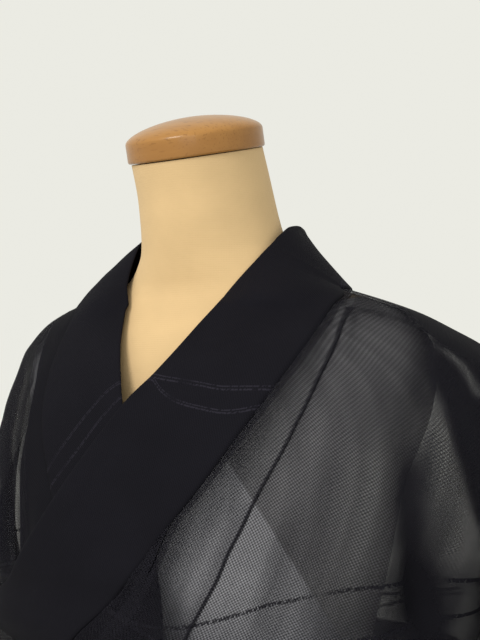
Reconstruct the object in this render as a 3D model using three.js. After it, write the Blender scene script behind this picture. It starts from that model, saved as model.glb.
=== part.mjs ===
// A woman's unlined summer kimono on a limbless dress form with a stand.
// Millimetres, +Z up. The wearer faces -Y, so the wearer's left is +X.
// The origin is the middle of the stand's foot, on the floor.
// Angles go round the body in degrees: 0 is the front, +90 the wearer's left, 180 the back.

import * as THREE from 'three';

// ---------------------------------------------------------------- driving dimensions

const CLOTH = 1.6;            // wall of one layer of cloth
const DOUBLE = 2.6;           // wall of the collar, which is a folded strip
const SEAM_GAP = 0.9;         // from the middle of one cloth edge to the next
const EDGE_GAP = 0.35;        // clear of a face that a piece is sewn to
const PLY = 3.4;              // from one ply of the waist fold to the next
const OVER = 5.7;             // the left front lies this far out over the right one
const OVER_WAIST = 3 * PLY;   // and this far out where both are folded in three

const HEM_Z = 35;
const FOLD_LOW_Z = 872;       // lower edge of the waist fold
const FOLD_HIGH_Z = 1064;     // upper edge of its hidden turn
const FOLD_TURN = 4;          // height of a turn at either edge
const BODICE_Z = 1108;        // from here up the cloth is one ply again
const NECK_Z = 1336;          // neckline at the shoulders and the back
const ARMHOLE_TOP_Z = 1240;
const ARMHOLE_LOW_Z = 1085;
const ARMHOLE_HALF = 24;      // half of the armhole's widest opening
const UNDER_COLLAR_END_Z = 1040;
const GORE_TIP_Z = 1160;
const COLLAR_NECK_WIDTH = 62;
const COLLAR_BULGE = 4;       // height of the collar's curve where it stands free

// Where the left front's lift begins and how it ends towards the side seam, in degrees.
const LIFT = { lowZ: 800, endAngle: 80, fade: 24 };

// How a large fold rises from its low end and fades at its high one.
const FOLD_ENDS = { rise: 60, fade: 90 };

// The droop is the top fold's slope on each side; the gaps are halves of the space inside.
const SLEEVE = {
  width: 340,
  depth: 490,
  opening: 235,
  droop: { 1: 64, [-1]: 66 },
  taper: 14,
  middleGap: 21,
  cuffGap: 20,
  bodyGap: 9,
  leastGap: 1.5,
  bodyShare: 0.25,
  cuffShare: 0.28,
  bodySpread: 120,
  topRound: 40,
  hemRound: 25,
  wave: 9,
  waves: 3,
  backShift: 0.9,
};

const TIE = { low: 1006, high: 1038, thick: 2.4, clear: 1.6, liftEnd: 84, liftStart: -92, startFade: 14 };
const POLE = { radius: 13, top: 779.7 };
const FOOT = { radius: 170, thick: 22, edge: 7, bevel: 2 };
const FLANGE = { radius: 34, neck: 19, thick: 8, height: 34, bevel: 2, slope: 3, step: 5 };
const CAP = { radius: 57, side: 15.5, dome: 16.5, power: 1.85, bevel: 1.5 };
const CAP_PLACE = { tilt: 14.6, y: -33.9, z: 1450.4 };

// Rings of the dress form: half width, depth to the front and to the back, squareness,
// and for the neck the forward shift and the tilt of the ring.
const FORM = rows(`
  z     half  front  back  power  shift  tilt
  780   150    92    108   2.3     0      0
  840   164    98    116   2.3     0      0
  900   156    94    106   2.3     0      0
  960   130    86     84   2.2     0      0
  1005  120    82     78   2.2     0      0
  1060  132    94     82   2.2     0      0
  1120  148   106     88   2.2     0      0
  1180  160   104     94   2.3     0      0
  1240  184    92     96   2.4     0      0
  1270  190    84     90   2.4     0      0
  1290  188    76     84   2.4     0      0
  1302  183    71     78   2.3     0      0
  1315  172.5  64     73   2.2     0      0
  1326  146    60     69   2.1     0      0
  1336  114    57.5   65   2.0    -0.5    1
  1344   90    57     62   2.0    -1.5    2
  1352   77    57.5   60   2.0    -3      3
  1362   68.5  58     59   2.0    -5      4.5
  1376   61.5  58     58   2.0    -8.5    6.5
  1400   57.5  57.5   57.5 2.0   -15.5    9
  1425   55.5  55.5   56   2.0   -23.5   12
  1450   54.5  54.5   55   2.0   -33.5   15`);

// Rings of the cloth's middle surface, one ply, with its two half widths.
const ROBE = rows(`
  z     left  right  front  back  power
  35    172   172    128    128   2.2
  300   176   176    130    130   2.2
  600   182   182    132    134   2.2
  800   184   184    128    138   2.2
  900   176   176    116    128   2.2
  960   150   150    104    106   2.2
  1000  136   136     97     92   2.2
  1040  140   138     99     92   2.2
  1070  168   160    108     98   2.2
  1120  222   196    124    106   2.3
  1170  262   212    124    110   2.4
  1215  270   215    119    112   2.4
  1240  267   211    114    110   2.4
  1270  252   205    101    104   2.4
  1290  227   199     88     95   2.4
  1302  206   191     80     88   2.3
  1315  181   178     72     81   2.2
  1326  152   158     66     76   2.1
  1336  121   128     62     72   2.0`);

// Seams of the left front, which lies outside: the collar's seam and the front gore's seam.
const LEFT_FRONT = rows(`
  z     collar  gore
  35     -50     -6
  700    -47     -8
  800    -45     -8
  900    -42     -9
  1000   -38    -12
  1040   -34    -12
  1066   -26     -9
  1101    -5      4.8
  1131     8.5   12.7
  1160    19.5   19.5
  1186    28.4   28.4
  1211    35.6   35.6
  1240    43.5   43.5
  1260    49     49
  1285    56.6   56.6
  1306    64.4   64.4
  1320    71     71
  1336    86     86`);

// Seams of the right front, which lies inside.
const RIGHT_FRONT = rows(`
  z     collar  gore
  35     -44      6
  700    -40      8
  800    -32      8
  900    -20     10
  1000     5     18
  1040    20     25
  1066    24     28
  1101    27     30
  1131    29.5   31
  1160    32     32
  1186    36     36
  1211    40     40
  1240    45     45
  1260    49.5   49.5
  1285    57     57
  1306    64.4   64.4
  1320    71     71
  1336    86     86`);

// The collar's folded edge, for each height of its seam. A reach of 0 lies on the cloth.
const LEFT_EDGE = rows(`
  seam   angle  z     reach
  872     -70    872    0
  1000    -72   1000    0
  1040    -70   1040    0
  1062    -67   1064    0
  1085    -61   1088    0
  1108    -54   1112    0
  1131    -46   1135    0
  1160    -32   1168    0
  1186    -21   1198    0
  1211    -11   1228    0
  1240     -1   1254    0
  1260      6   1268    0
  1285     15   1289    0
  1302     23   1306    0
  1315     33   1322    0
  1326     48   1344   74
  1336     64   1364   72`);

const RIGHT_EDGE = rows(`
  seam   angle  z     reach
  1040    -16   1040    0
  1062    -15.5 1062    0
  1085    -15   1085    0
  1108    -14.5 1108    0
  1131    -13   1131    0
  1160    -13   1160    0
  1186    -8    1190    0
  1211    -1    1218    0
  1240     7    1246    0
  1260    14    1270    0
  1285    27    1300    0
  1302    36    1321    0
  1315    45    1340   80
  1326    55    1357   77
  1336    67    1373   76`);

const NECK_EDGE = rows(`
  seam   angle  z     reach
  90       70   1369   71
  97.3     80   1378   70
  109.4    97   1389   70
  124.1   116   1392   73
  141.1   136   1392   79
  160     158   1390   85
  180     180   1389   88`);

// The largest folds: troughs that run down the cloth, by the angle of their middle.
const DRAPE = rows(`
  angle  half  depth  low   high
  47      8     4     1050  1200
  60      8     7     1044  1236
  73      7     6     1046  1216
  108    10     6     1046  1216
  126    12     7     1044  1232
  146    12     5     1046  1204
  64     14     7      -40   850
  104    14     8      -40   830
  140    17     6      -40   790`);

// Where a sleeve's edge next to the body hangs, below the armhole.
const SLEEVE_INNER = rows(`
  z     reach
  700   204
  800   203
  872   200
  960   196
  1040  190
  1085  186`);

// ---------------------------------------------------------------- tables and curves

function rows(text) {
  const [names, ...lines] = text.trim().split('\n').map((line) => line.trim().split(/\s+/));
  return names.reduce((table, name, k) => ({ ...table, [name]: lines.map((line) => Number(line[k])) }), {});
}

// A smooth curve through a table's column that never overshoots its rows.
function curve(keys, values, at) {
  const last = keys.length - 1;
  const slope = keys.slice(1).map((key, k) => (values[k + 1] - values[k]) / (key - keys[k]));
  const tangent = keys.map((_, k) => {
    if (k === 0) return slope[0];
    if (k === last) return slope[last - 1];
    const [before, after] = [slope[k - 1], slope[k]];
    return before * after <= 0 ? 0 : (2 * before * after) / (before + after);
  });
  const x = Math.min(Math.max(at, keys[0]), keys[last]);
  let k = 0;
  while (k < last - 1 && x >= keys[k + 1]) k += 1;
  const h = keys[k + 1] - keys[k];
  const t = (x - keys[k]) / h;
  return (1 + 2 * t) * (1 - t) ** 2 * values[k] + t * (1 - t) ** 2 * h * tangent[k]
    + t * t * (3 - 2 * t) * values[k + 1] + t * t * (t - 1) * h * tangent[k + 1];
}

const lookUp = (table, key, column, at) => curve(table[key], table[column], at);
const radians = (degrees) => (degrees * Math.PI) / 180;
const mix = (a, b, t) => a + (b - a) * t;

function ease(t) {
  const x = Math.min(Math.max(t, 0), 1);
  return x * x * (3 - 2 * x);
}

// Distance from the axis to a ring that is a superellipse: (sin/half)^n + (cos/depth)^n = r^-n.
function ringRadius(half, front, back, power, degrees) {
  const s = Math.abs(Math.sin(radians(degrees)));
  const c = Math.cos(radians(degrees));
  const depth = c >= 0 ? front : back;
  return ((s / half) ** power + (Math.abs(c) / depth) ** power) ** (-1 / power);
}

function robeHalf(side, z) {
  return lookUp(ROBE, 'z', side > 0 ? 'left' : 'right', z);
}

// How far the cloth's middle surface lies from the axis, at an angle and a height.
function robeReach(degrees, z) {
  const side = Math.sin(radians(degrees)) >= 0 ? 1 : -1;
  const [front, back, power] = ['front', 'back', 'power'].map((name) => lookUp(ROBE, 'z', name, z));
  return ringRadius(robeHalf(side, z), front, back, power, degrees);
}

function around(degrees, z, reach) {
  return new THREE.Vector3(reach * Math.sin(radians(degrees)), -reach * Math.cos(radians(degrees)), z);
}

// ---------------------------------------------------------------- closed bodies

function bodyFrom(points, faces) {
  const geometry = new THREE.BufferGeometry();
  const numbers = points.flatMap((p) => [p.x, p.y, p.z]);
  geometry.setAttribute('position', new THREE.Float32BufferAttribute(numbers, 3));
  geometry.setIndex(faces.flat());
  geometry.computeVertexNormals();
  return geometry;
}

// Joins two faces of a sheet, corner for corner, round every free edge.
function shell(outer, inner, quads) {
  const count = outer.length;
  const faces = [];
  const edges = new Map();
  for (const [a, b, c, d] of quads) {
    faces.push([a, b, c], [a, c, d]);
    faces.push([count + a, count + c, count + b], [count + a, count + d, count + c]);
    for (const [from, to] of [[a, b], [b, c], [c, d], [d, a]]) edges.set(`${from} ${to}`, [from, to]);
  }
  for (const [from, to] of edges.values()) {
    if (edges.has(`${to} ${from}`)) continue;
    faces.push([from, count + from, count + to], [from, count + to, to]);
  }
  return bodyFrom([...outer, ...inner], faces);
}

// Thickens a sheet half to each side, along the mean of its faces' directions at each corner.
function wall(middle, quads, thickness) {
  const normals = middle.map(() => new THREE.Vector3());
  for (const [a, b, c, d] of quads) {
    const across = middle[c].clone().sub(middle[a]);
    const normal = across.cross(middle[d].clone().sub(middle[b]));
    for (const k of [a, b, c, d]) normals[k].add(normal);
  }
  const moved = (by) => middle.map((p, k) => p.clone().addScaledVector(normals[k].clone().normalize(), by));
  return shell(moved(thickness / 2), moved(-thickness / 2), quads);
}

// A grid of rows and columns as a sheet; flip turns its outer face round.
function gridQuads(rowCount, columnCount, flip, index = (r, c) => r * columnCount + c) {
  const quads = [];
  for (let r = 0; r + 1 < rowCount; r += 1) {
    for (let c = 0; c + 1 < columnCount; c += 1) {
      const quad = [index(r, c), index(r, c + 1), index(r + 1, c + 1), index(r + 1, c)];
      quads.push(flip ? quad.reverse() : quad);
    }
  }
  return quads;
}

// ---------------------------------------------------------------- plies and rows of the garment

// Every row that the cloth passes from the hem to the neckline: a height and a ply.
const BODICE_ROWS = [1085, 1108, 1131, 1160, 1186, 1211, 1240, 1260, 1285, 1302, 1315, 1326, 1336];
const SKIRT_ROWS = [HEM_Z, 300, 560, 760, 850, 900, 960, 1005, 1040];
const FOLD_ROWS = [900, 960, 1005, 1040];

function clothRows() {
  const up = FOLD_HIGH_Z - FOLD_TURN;
  const low = FOLD_LOW_Z + FOLD_TURN;
  return [
    ...SKIRT_ROWS.map((z) => ({ z, ply: 0 })), { z: up, ply: 0 },
    { z: FOLD_HIGH_Z, ply: 0.5 }, { z: up, ply: 1 },
    ...[...FOLD_ROWS].reverse().map((z) => ({ z, ply: 1 })), { z: low, ply: 1 },
    { z: FOLD_LOW_Z, ply: 1.5 }, { z: low, ply: 2 },
    ...FOLD_ROWS.map((z) => ({ z, ply: 2 })), { z: up, ply: 2 },
    ...BODICE_ROWS.map((z) => ({ z, ply: 2 })),
  ];
}

// Depth of the large folds at an angle towards the piece's own side.
function drape(degrees, z) {
  return DRAPE.angle.reduce((sum, angle, k) => {
    const across = Math.max(0, 1 - Math.abs(degrees - angle) / DRAPE.half[k]);
    const along = ease((z - DRAPE.low[k]) / FOLD_ENDS.rise) * ease((DRAPE.high[k] - z) / FOLD_ENDS.fade);
    return sum + DRAPE.depth[k] * ease(across) * along;
  }, 0);
}

// How far a row stands out: by its ply at the waist, and for the left front over the right one.
function standOut(side, degrees, { z, ply }) {
  const single = ease((z - FOLD_HIGH_Z) / (BODICE_Z - FOLD_HIGH_Z));
  const plies = ply * PLY * (1 - single) - drape(degrees, z);
  if (side < 0 || degrees > 90) return plies;
  const low = ease((z - LIFT.lowZ) / (FOLD_LOW_Z - LIFT.lowZ));
  const lift = mix(OVER, OVER_WAIST, low * (1 - single));
  return plies + lift * ease((LIFT.endAngle - degrees) / LIFT.fade);
}

// One point of a side's cloth. Its angle is measured towards that side.
const clothReach = (side, degrees, row) => robeReach(side * degrees, row.z) + standOut(side, degrees, row);
const clothPoint = (side, degrees, row) => around(side * degrees, row.z, clothReach(side, degrees, row));

const frontTable = (side) => (side > 0 ? LEFT_FRONT : RIGHT_FRONT);

// Angles are taken positive towards the piece's own side, so the right front's are turned round.
const seamAngle = (side, column, z) => lookUp(frontTable(side), 'z', column, z);

// ---------------------------------------------------------------- body panels

const FRONT_COLUMNS = 8;
const BACK_COLUMNS = 6;
const SLIT_COLUMN = FRONT_COLUMNS;
const FRONT_SPREAD = 1.2;     // the columns lie closer together towards the side seam
const BACK_SPREAD = 1.4;
const BACK_MIDDLE = 180;
const SIDE_SEAM = 90;
const backAngle = (k) => mix(SIDE_SEAM, BACK_MIDDLE, (k / BACK_COLUMNS) ** BACK_SPREAD);

const lens = (share) => Math.sin(Math.PI * Math.min(Math.max(share, 0), 1)) ** 0.7;
const edgeTurn = (reach) => THREE.MathUtils.radToDeg(SEAM_GAP / reach);

function panelAngle(side, row, column, backEdge) {
  const reach = robeHalf(side, row.z);
  const inSlit = row.ply === 2 && row.z > ARMHOLE_LOW_Z && row.z < ARMHOLE_TOP_Z;
  const share = (row.z - ARMHOLE_LOW_Z) / (ARMHOLE_TOP_Z - ARMHOLE_LOW_Z);
  const open = inSlit ? THREE.MathUtils.radToDeg(Math.asin((ARMHOLE_HALF * lens(share)) / reach)) : 0;
  if (column < SLIT_COLUMN || (column === SLIT_COLUMN && !backEdge)) {
    const inner = seamAngle(side, 'gore', row.z) + edgeTurn(reach);
    return mix(SIDE_SEAM - open, inner, (1 - column / FRONT_COLUMNS) ** FRONT_SPREAD);
  }
  const last = BACK_MIDDLE - edgeTurn(reach) / 2;
  return mix(SIDE_SEAM + open, last, ((column - SLIT_COLUMN) / BACK_COLUMNS) ** BACK_SPREAD);
}

// One length of cloth from the front hem over the shoulder to the back hem, open at the armhole.
function bodyPanel(side) {
  const clothLines = clothRows();
  const columns = FRONT_COLUMNS + BACK_COLUMNS + 1;
  const points = [];
  const place = new Map();
  clothLines.forEach((row, r) => {
    for (let c = 0; c < columns; c += 1) {
      place.set(`${r} ${c}`, points.length);
      points.push(clothPoint(side, panelAngle(side, row, c, false), row));
    }
    place.set(`${r} back`, points.length - columns + SLIT_COLUMN);
    if (row.ply === 2 && row.z > ARMHOLE_LOW_Z && row.z < ARMHOLE_TOP_Z) {
      place.set(`${r} back`, points.length);
      points.push(clothPoint(side, panelAngle(side, row, SLIT_COLUMN, true), row));
    }
  });
  const index = (r, c) => place.get(`${r} ${c}`);
  const front = gridQuads(clothLines.length, FRONT_COLUMNS + 1, side < 0, index);
  const back = gridQuads(clothLines.length, BACK_COLUMNS + 1, side < 0,
    (r, c) => (c === 0 ? place.get(`${r} back`) : index(r, c + SLIT_COLUMN)));
  return wall(points, [...front, ...back], CLOTH);
}

// ---------------------------------------------------------------- front gores

const GORE_COLUMNS = 4;

// The narrow gore between a front panel and the collar, a point at the top and wide at the hem.
function frontGore(side) {
  const clothLines = clothRows().filter((row) => row.z < GORE_TIP_Z);
  const points = [];
  for (const row of clothLines) {
    const reach = robeHalf(side, row.z);
    const seam = seamAngle(side, 'gore', row.z) - edgeTurn(reach) / 3;
    const collar = seamAngle(side, 'collar', row.z) + edgeTurn(reach);
    for (let c = 0; c <= GORE_COLUMNS; c += 1) {
      points.push(clothPoint(side, mix(collar, seam, c / GORE_COLUMNS), row));
    }
  }
  return wall(points, gridQuads(clothLines.length, GORE_COLUMNS + 1, side < 0), CLOTH);
}

// ---------------------------------------------------------------- collar

const COLLAR_COLUMNS = 4;

// One row across the collar, from its seam to its folded edge, lying on the cloth or free of it.
function collarRow(side, angle, edge, row, start) {
  const seamReach = clothReach(side, angle, row);
  const freeReach = edge.reach || clothReach(side, edge.angle, { z: edge.z, ply: row.ply });
  return Array.from({ length: COLLAR_COLUMNS + 1 }, (_, c) => {
    const t = mix(start, 1, c / COLLAR_COLUMNS);
    const turned = mix(angle, edge.angle, t);
    const z = mix(row.z, edge.z, t);
    const bulge = edge.reach ? COLLAR_BULGE * Math.sin(Math.PI * t) : 0;
    const straight = mix(seamReach, freeReach, t) + bulge;
    const onCloth = z <= NECK_Z ? clothReach(side, turned, { z, ply: row.ply }) : 0;
    const reach = edge.reach ? Math.max(straight, onCloth) : onCloth;
    return around(side * turned, z, reach);
  });
}

function edgeAt(table, at) {
  const next = table.seam.findIndex((seam) => seam >= at - 1e-6);
  return {
    angle: lookUp(table, 'seam', 'angle', at),
    z: lookUp(table, 'seam', 'z', at),
    reach: table.reach[next],
  };
}

// The neckline's rows begin one gap above the panels' top edge.
const NECK_START = SEAM_GAP / COLLAR_NECK_WIDTH;

function collarFront(side) {
  const table = side > 0 ? LEFT_EDGE : RIGHT_EDGE;
  const hidden = (row) => (side > 0 ? row.ply < 1 : row.ply < 2 || row.z < UNDER_COLLAR_END_Z);
  return clothRows().filter((row) => !hidden(row)).map((row) => {
    const edge = edgeAt(table, row.z);
    if (row.z < UNDER_COLLAR_END_Z) edge.z = row.z;
    return collarRow(side, seamAngle(side, 'collar', row.z), edge, row, row.z === NECK_Z ? NECK_START : 0);
  });
}

function collarNeck(side) {
  const row = { z: NECK_Z, ply: 2 };
  return Array.from({ length: BACK_COLUMNS + 1 }, (_, k) => {
    const angle = backAngle(k);
    return collarRow(side, angle, edgeAt(NECK_EDGE, angle), row, NECK_START);
  });
}

// The collar: one folded strip round the neck and down both fronts, the left end outside.
function collar() {
  const left = [...collarFront(1), ...collarNeck(1)];
  const right = [...collarFront(-1), ...collarNeck(-1)].slice(0, -1).reverse();
  const lines = [...left, ...right];
  return wall(lines.flat(), gridQuads(lines.length, COLLAR_COLUMNS + 1, true), DOUBLE);
}

// ---------------------------------------------------------------- sleeves

const SLEEVE_COLUMNS = 12;
const SLEEVE_DROPS = [0, 3, 14, 40, 80, 130, 180, 235, 300, 370, 430, 470, 486, 490];

// A sleeve is a flat bag that hangs from the armhole, its top fold drooping away from the shoulder.
function sleeveMiddle(side, u, drop) {
  const droop = radians(SLEEVE.droop[side]);
  const topZ = ARMHOLE_TOP_Z - SLEEVE.width * Math.sin(droop) * u;
  const inner = sleeveInner(side, ARMHOLE_TOP_Z - drop);
  const outer = robeHalf(side, ARMHOLE_TOP_Z) + SLEEVE.width * Math.cos(droop);
  return { x: mix(inner, outer - SLEEVE.taper * (drop / SLEEVE.depth), u), z: topZ - drop };
}

// The sleeve's edge next to the body: on the armhole, then hanging free beside the waist fold.
function sleeveInner(side, z) {
  const onPanel = robeHalf(side, z) + CLOTH / 2 + 3 * EDGE_GAP;
  const lowest = robeHalf(side, ARMHOLE_LOW_Z) + 2 * EDGE_GAP + CLOTH;
  const free = lookUp(SLEEVE_INNER, 'z', 'reach', z);
  return z > ARMHOLE_LOW_Z ? onPanel : Math.max(free, lowest);
}

// Half of the space between the layers at the body: the armhole, then closed and spreading again.
function bodyHalf(z) {
  const share = (z - ARMHOLE_LOW_Z) / (ARMHOLE_TOP_Z - ARMHOLE_LOW_Z);
  if (z > ARMHOLE_LOW_Z) return Math.max(2 * SLEEVE.leastGap, ARMHOLE_HALF * lens(share) + SLEEVE.leastGap);
  return 2 * SLEEVE.leastGap + SLEEVE.bodyGap * ease((ARMHOLE_LOW_Z - z) / SLEEVE.bodySpread);
}

// Half of the space at the cuff: open above, sewn shut below.
function cuffHalf(drop) {
  const open = drop < SLEEVE.opening ? SLEEVE.cuffGap * lens(drop / SLEEVE.opening) : 0;
  return Math.max(SLEEVE.leastGap, open);
}

// Half of the space between the sleeve's two layers.
function sleeveHalf(u, drop) {
  const { middleGap, bodyShare, cuffShare, leastGap } = SLEEVE;
  const top = Math.sqrt(Math.max(drop, 0) / SLEEVE.topRound);
  const hem = Math.sqrt(Math.max(SLEEVE.depth - drop, 0) / SLEEVE.hemRound);
  const fromBody = mix(bodyHalf(ARMHOLE_TOP_Z - drop), middleGap, ease(u / bodyShare));
  const toCuff = mix(middleGap, cuffHalf(drop), ease((u - 1 + cuffShare) / cuffShare));
  return Math.max(leastGap, (u < bodyShare ? fromBody : toCuff) * Math.min(1, top, hem));
}

// The hanging folds: waves across the sleeve that grow below its top fold.
function sleeveWave(face, u, drop) {
  const grown = ease((drop - 20) / 120) * ease((SLEEVE.depth - drop) / 60);
  const held = ease(u / 0.2) * ease((1 - u) / 0.2);
  const shift = face > 0 ? SLEEVE.backShift : 0;
  return SLEEVE.wave * grown * held * Math.cos(2 * Math.PI * SLEEVE.waves * u + shift);
}

function sleeve(side) {
  const outside = [];
  const inside = [];
  const lowest = SLEEVE_DROPS.length - 1;
  const path = [
    ...SLEEVE_DROPS.map((drop) => ({ drop, face: -1 })),
    ...SLEEVE_DROPS.slice(1, -1).reverse().map((drop) => ({ drop, face: 1 })),
  ];
  for (const { drop, face } of path) {
    for (let c = 0; c <= SLEEVE_COLUMNS; c += 1) {
      const u = c / SLEEVE_COLUMNS;
      const { x, z } = sleeveMiddle(side, u, drop);
      const end = drop === 0 || drop === SLEEVE_DROPS[lowest];
      const half = sleeveHalf(u, drop) + sleeveWave(face, u, drop);
      const up = end ? ((drop === 0 ? 1 : -1) * CLOTH) / 2 : 0;
      const step = end ? 0 : face;
      outside.push(new THREE.Vector3(side * x, step * (half + CLOTH / 2), z + up));
      inside.push(new THREE.Vector3(side * x, step * (half - CLOTH / 2), z - up));
    }
  }
  const index = (r, c) => (r % path.length) * (SLEEVE_COLUMNS + 1) + c;
  return shell(outside, inside, gridQuads(path.length + 1, SLEEVE_COLUMNS + 1, side > 0, index));
}

// ---------------------------------------------------------------- waist tie

const TIE_STEPS = 48;

// A flat tie round the waist, outside everything that it holds.
function waistTie() {
  const heights = [TIE.low, (TIE.low + TIE.high) / 2, TIE.high];
  const points = [];
  for (const z of heights) {
    for (let k = 0; k < TIE_STEPS; k += 1) {
      const degrees = -180 + (360 * k) / TIE_STEPS;
      const start = ease((degrees - TIE.liftStart) / TIE.startFade);
      const lift = OVER_WAIST * start * ease((TIE.liftEnd - degrees) / LIFT.fade);
      const out = 2 * PLY + lift + DOUBLE / 2 + TIE.clear + TIE.thick / 2;
      points.push(around(degrees, z, robeReach(degrees, z) + out));
    }
  }
  const index = (r, c) => r * TIE_STEPS + (c % TIE_STEPS);
  return wall(points, gridQuads(heights.length, TIE_STEPS + 1, false, index), TIE.thick);
}

// ---------------------------------------------------------------- dress form and stand

const FORM_STEPS = 32;

// The padded torso and neck in one, closed by a flat underside and a tilted flat top.
function formBody() {
  const points = [];
  FORM.z.forEach((z, r) => {
    for (let k = 0; k < FORM_STEPS; k += 1) {
      const degrees = (360 * k) / FORM_STEPS;
      const reach = ringRadius(FORM.half[r], FORM.front[r], FORM.back[r], FORM.power[r], degrees);
      const p = around(degrees, 0, reach).applyAxisAngle(new THREE.Vector3(1, 0, 0), radians(FORM.tilt[r]));
      points.push(p.add(new THREE.Vector3(0, FORM.shift[r], z)));
    }
  });
  const index = (r, c) => r * FORM_STEPS + (c % FORM_STEPS);
  const faces = gridQuads(FORM.z.length, FORM_STEPS + 1, false, index)
    .flatMap(([a, b, c, d]) => [[a, b, c], [a, c, d]]);
  const top = FORM.z.length - 1;
  const bottom = points.push(new THREE.Vector3(0, 0, FORM.z[0])) - 1;
  const summit = points.push(new THREE.Vector3(0, FORM.shift[top], FORM.z[top])) - 1;
  for (let c = 0; c < FORM_STEPS; c += 1) {
    faces.push([bottom, index(0, c + 1), index(0, c)], [summit, index(top, c), index(top, c + 1)]);
  }
  return bodyFrom(points, faces);
}

// A profile of radius and height turned about the vertical axis.
function turned(profile, steps) {
  const geometry = new THREE.LatheGeometry(profile.map(([r, z]) => new THREE.Vector2(r, z)), steps);
  return geometry.rotateX(Math.PI / 2);
}

function arc(centreR, centreZ, radius, from, to, steps) {
  return Array.from({ length: steps + 1 }, (_, k) => {
    const angle = radians(mix(from, to, k / steps));
    return [centreR + radius * Math.cos(angle), centreZ + radius * Math.sin(angle)];
  });
}

const TURNED_STEPS = 32;
const DOME_STEPS = 8;

// The cap's dome is a quarter of a superellipse, full at the rim and nearly flat in the middle.
function neckCap() {
  const { radius, side, dome, power, bevel } = CAP;
  const domePoint = (k) => {
    const turn = (Math.PI / 2) * (k / DOME_STEPS);
    return [radius * Math.cos(turn) ** (2 / power), side + dome * Math.sin(turn) ** (2 / power)];
  };
  const top = Array.from({ length: DOME_STEPS - 1 }, (_, k) => domePoint(k + 1));
  const wall = [[0, 0], [radius - bevel, 0], [radius, bevel], [radius, side]];
  return turned([...wall, ...top, [0, side + dome]], TURNED_STEPS);
}

function foot() {
  const { radius, thick, edge, bevel } = FOOT;
  const rim = arc(radius - edge, thick - edge, edge, 0, 90, 3);
  return turned([[0, 0], [radius - bevel, 0], [radius, bevel], ...rim, [0, thick]], TURNED_STEPS + 8);
}

function flange() {
  const { radius, neck, thick, height, bevel, slope, step } = FLANGE;
  const bore = POLE.radius + EDGE_GAP;
  const plate = [[bore, 0], [radius, 0], [radius, thick - bevel], [radius - bevel, thick]];
  const shoulder = [[neck + slope, thick + slope], [neck, thick + slope + step]];
  return turned([...plate, ...shoulder, [neck, height], [bore, height], [bore, 0]], TURNED_STEPS - 8);
}

function pole() {
  const low = FOOT.thick + EDGE_GAP;
  return turned([[0, low], [POLE.radius, low], [POLE.radius, POLE.top], [0, POLE.top]], TURNED_STEPS - 8);
}

// ---------------------------------------------------------------- the whole

const FINISHES = {
  gauze: { color: 0x2a2930, roughness: 0.75, metalness: 0 },
  cover: { color: 0xd9bc8c, roughness: 0.85, metalness: 0 },
  wood: { color: 0xa8743f, roughness: 0.35, metalness: 0 },
  metal: { color: 0x3a3a3c, roughness: 0.4, metalness: 0.8 },
};

function piece(name, geometry, finish) {
  const mesh = new THREE.Mesh(geometry, new THREE.MeshStandardMaterial(FINISHES[finish]));
  mesh.name = name;
  return mesh;
}

const kimono = new THREE.Group();
for (const [name, side] of [['left', 1], ['right', -1]]) {
  kimono.add(piece(`body_panel_${name}`, bodyPanel(side), 'gauze'));
  kimono.add(piece(`front_gore_${name}`, frontGore(side), 'gauze'));
  kimono.add(piece(`sleeve_${name}`, sleeve(side), 'gauze'));
}
kimono.add(piece('collar', collar(), 'gauze'));
kimono.add(piece('waist_tie', waistTie(), 'gauze'));

const cap = piece('neck_cap', neckCap(), 'wood');
cap.rotation.x = radians(CAP_PLACE.tilt);
cap.position.set(0, CAP_PLACE.y, CAP_PLACE.z);

const stand = new THREE.Group();
const ring = piece('pole_flange', flange(), 'metal');
ring.position.z = FOOT.thick + EDGE_GAP;
stand.add(piece('form_body', formBody(), 'cover'), cap, piece('pole', pole(), 'metal'), ring,
  piece('stand_foot', foot(), 'metal'));

const figure = new THREE.Group();
figure.add(kimono, stand);

export default figure;
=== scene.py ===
"""Looks of a woman's unlined summer kimono of sheer black gauze, worn by a limbless dress form.

Every shape is worked out in millimetres, +Z up, with the wearer facing -Y and the wearer's left
at +X, and is turned into metres as its mesh is made. Angles go round the body in degrees: 0 is
the front, +90 the wearer's left and 180 the back. A side is +1 for the wearer's left and -1 for
the right, and an angle "towards its side" grows from the front to that side and on to the back.
"""

import logging
import math
from collections.abc import Callable
from dataclasses import dataclass, field
from enum import Enum

import bmesh
import bpy
import numpy as np
from mathutils import Matrix, Vector


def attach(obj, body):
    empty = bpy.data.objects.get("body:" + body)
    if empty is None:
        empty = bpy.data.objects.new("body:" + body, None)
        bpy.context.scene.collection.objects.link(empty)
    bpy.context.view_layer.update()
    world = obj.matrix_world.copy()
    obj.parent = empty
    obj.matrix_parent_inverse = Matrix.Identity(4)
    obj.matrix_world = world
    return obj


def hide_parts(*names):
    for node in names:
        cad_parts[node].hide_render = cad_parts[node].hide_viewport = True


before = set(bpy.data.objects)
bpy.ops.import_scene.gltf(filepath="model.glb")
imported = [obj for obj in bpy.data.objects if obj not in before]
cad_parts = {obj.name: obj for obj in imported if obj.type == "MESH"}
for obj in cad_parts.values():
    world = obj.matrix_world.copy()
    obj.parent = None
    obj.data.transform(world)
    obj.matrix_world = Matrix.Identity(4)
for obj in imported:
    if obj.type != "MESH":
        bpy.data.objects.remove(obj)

LOG = logging.getLogger("kimono")
METRES = 0.001
TURN_LENGTH = 0.05
SAME_PLACE = 1e-6
Array = np.ndarray
Ramp = tuple[float, float]
Colour = tuple[float, float, float, float]
Profile = list[tuple[float, float]]
Path = tuple[tuple[float, float], ...]
Piece = bpy.types.Object
Material = bpy.types.Material
Socket = bpy.types.NodeSocket


# ------------------------------------------------------------------ tables and curves


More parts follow.
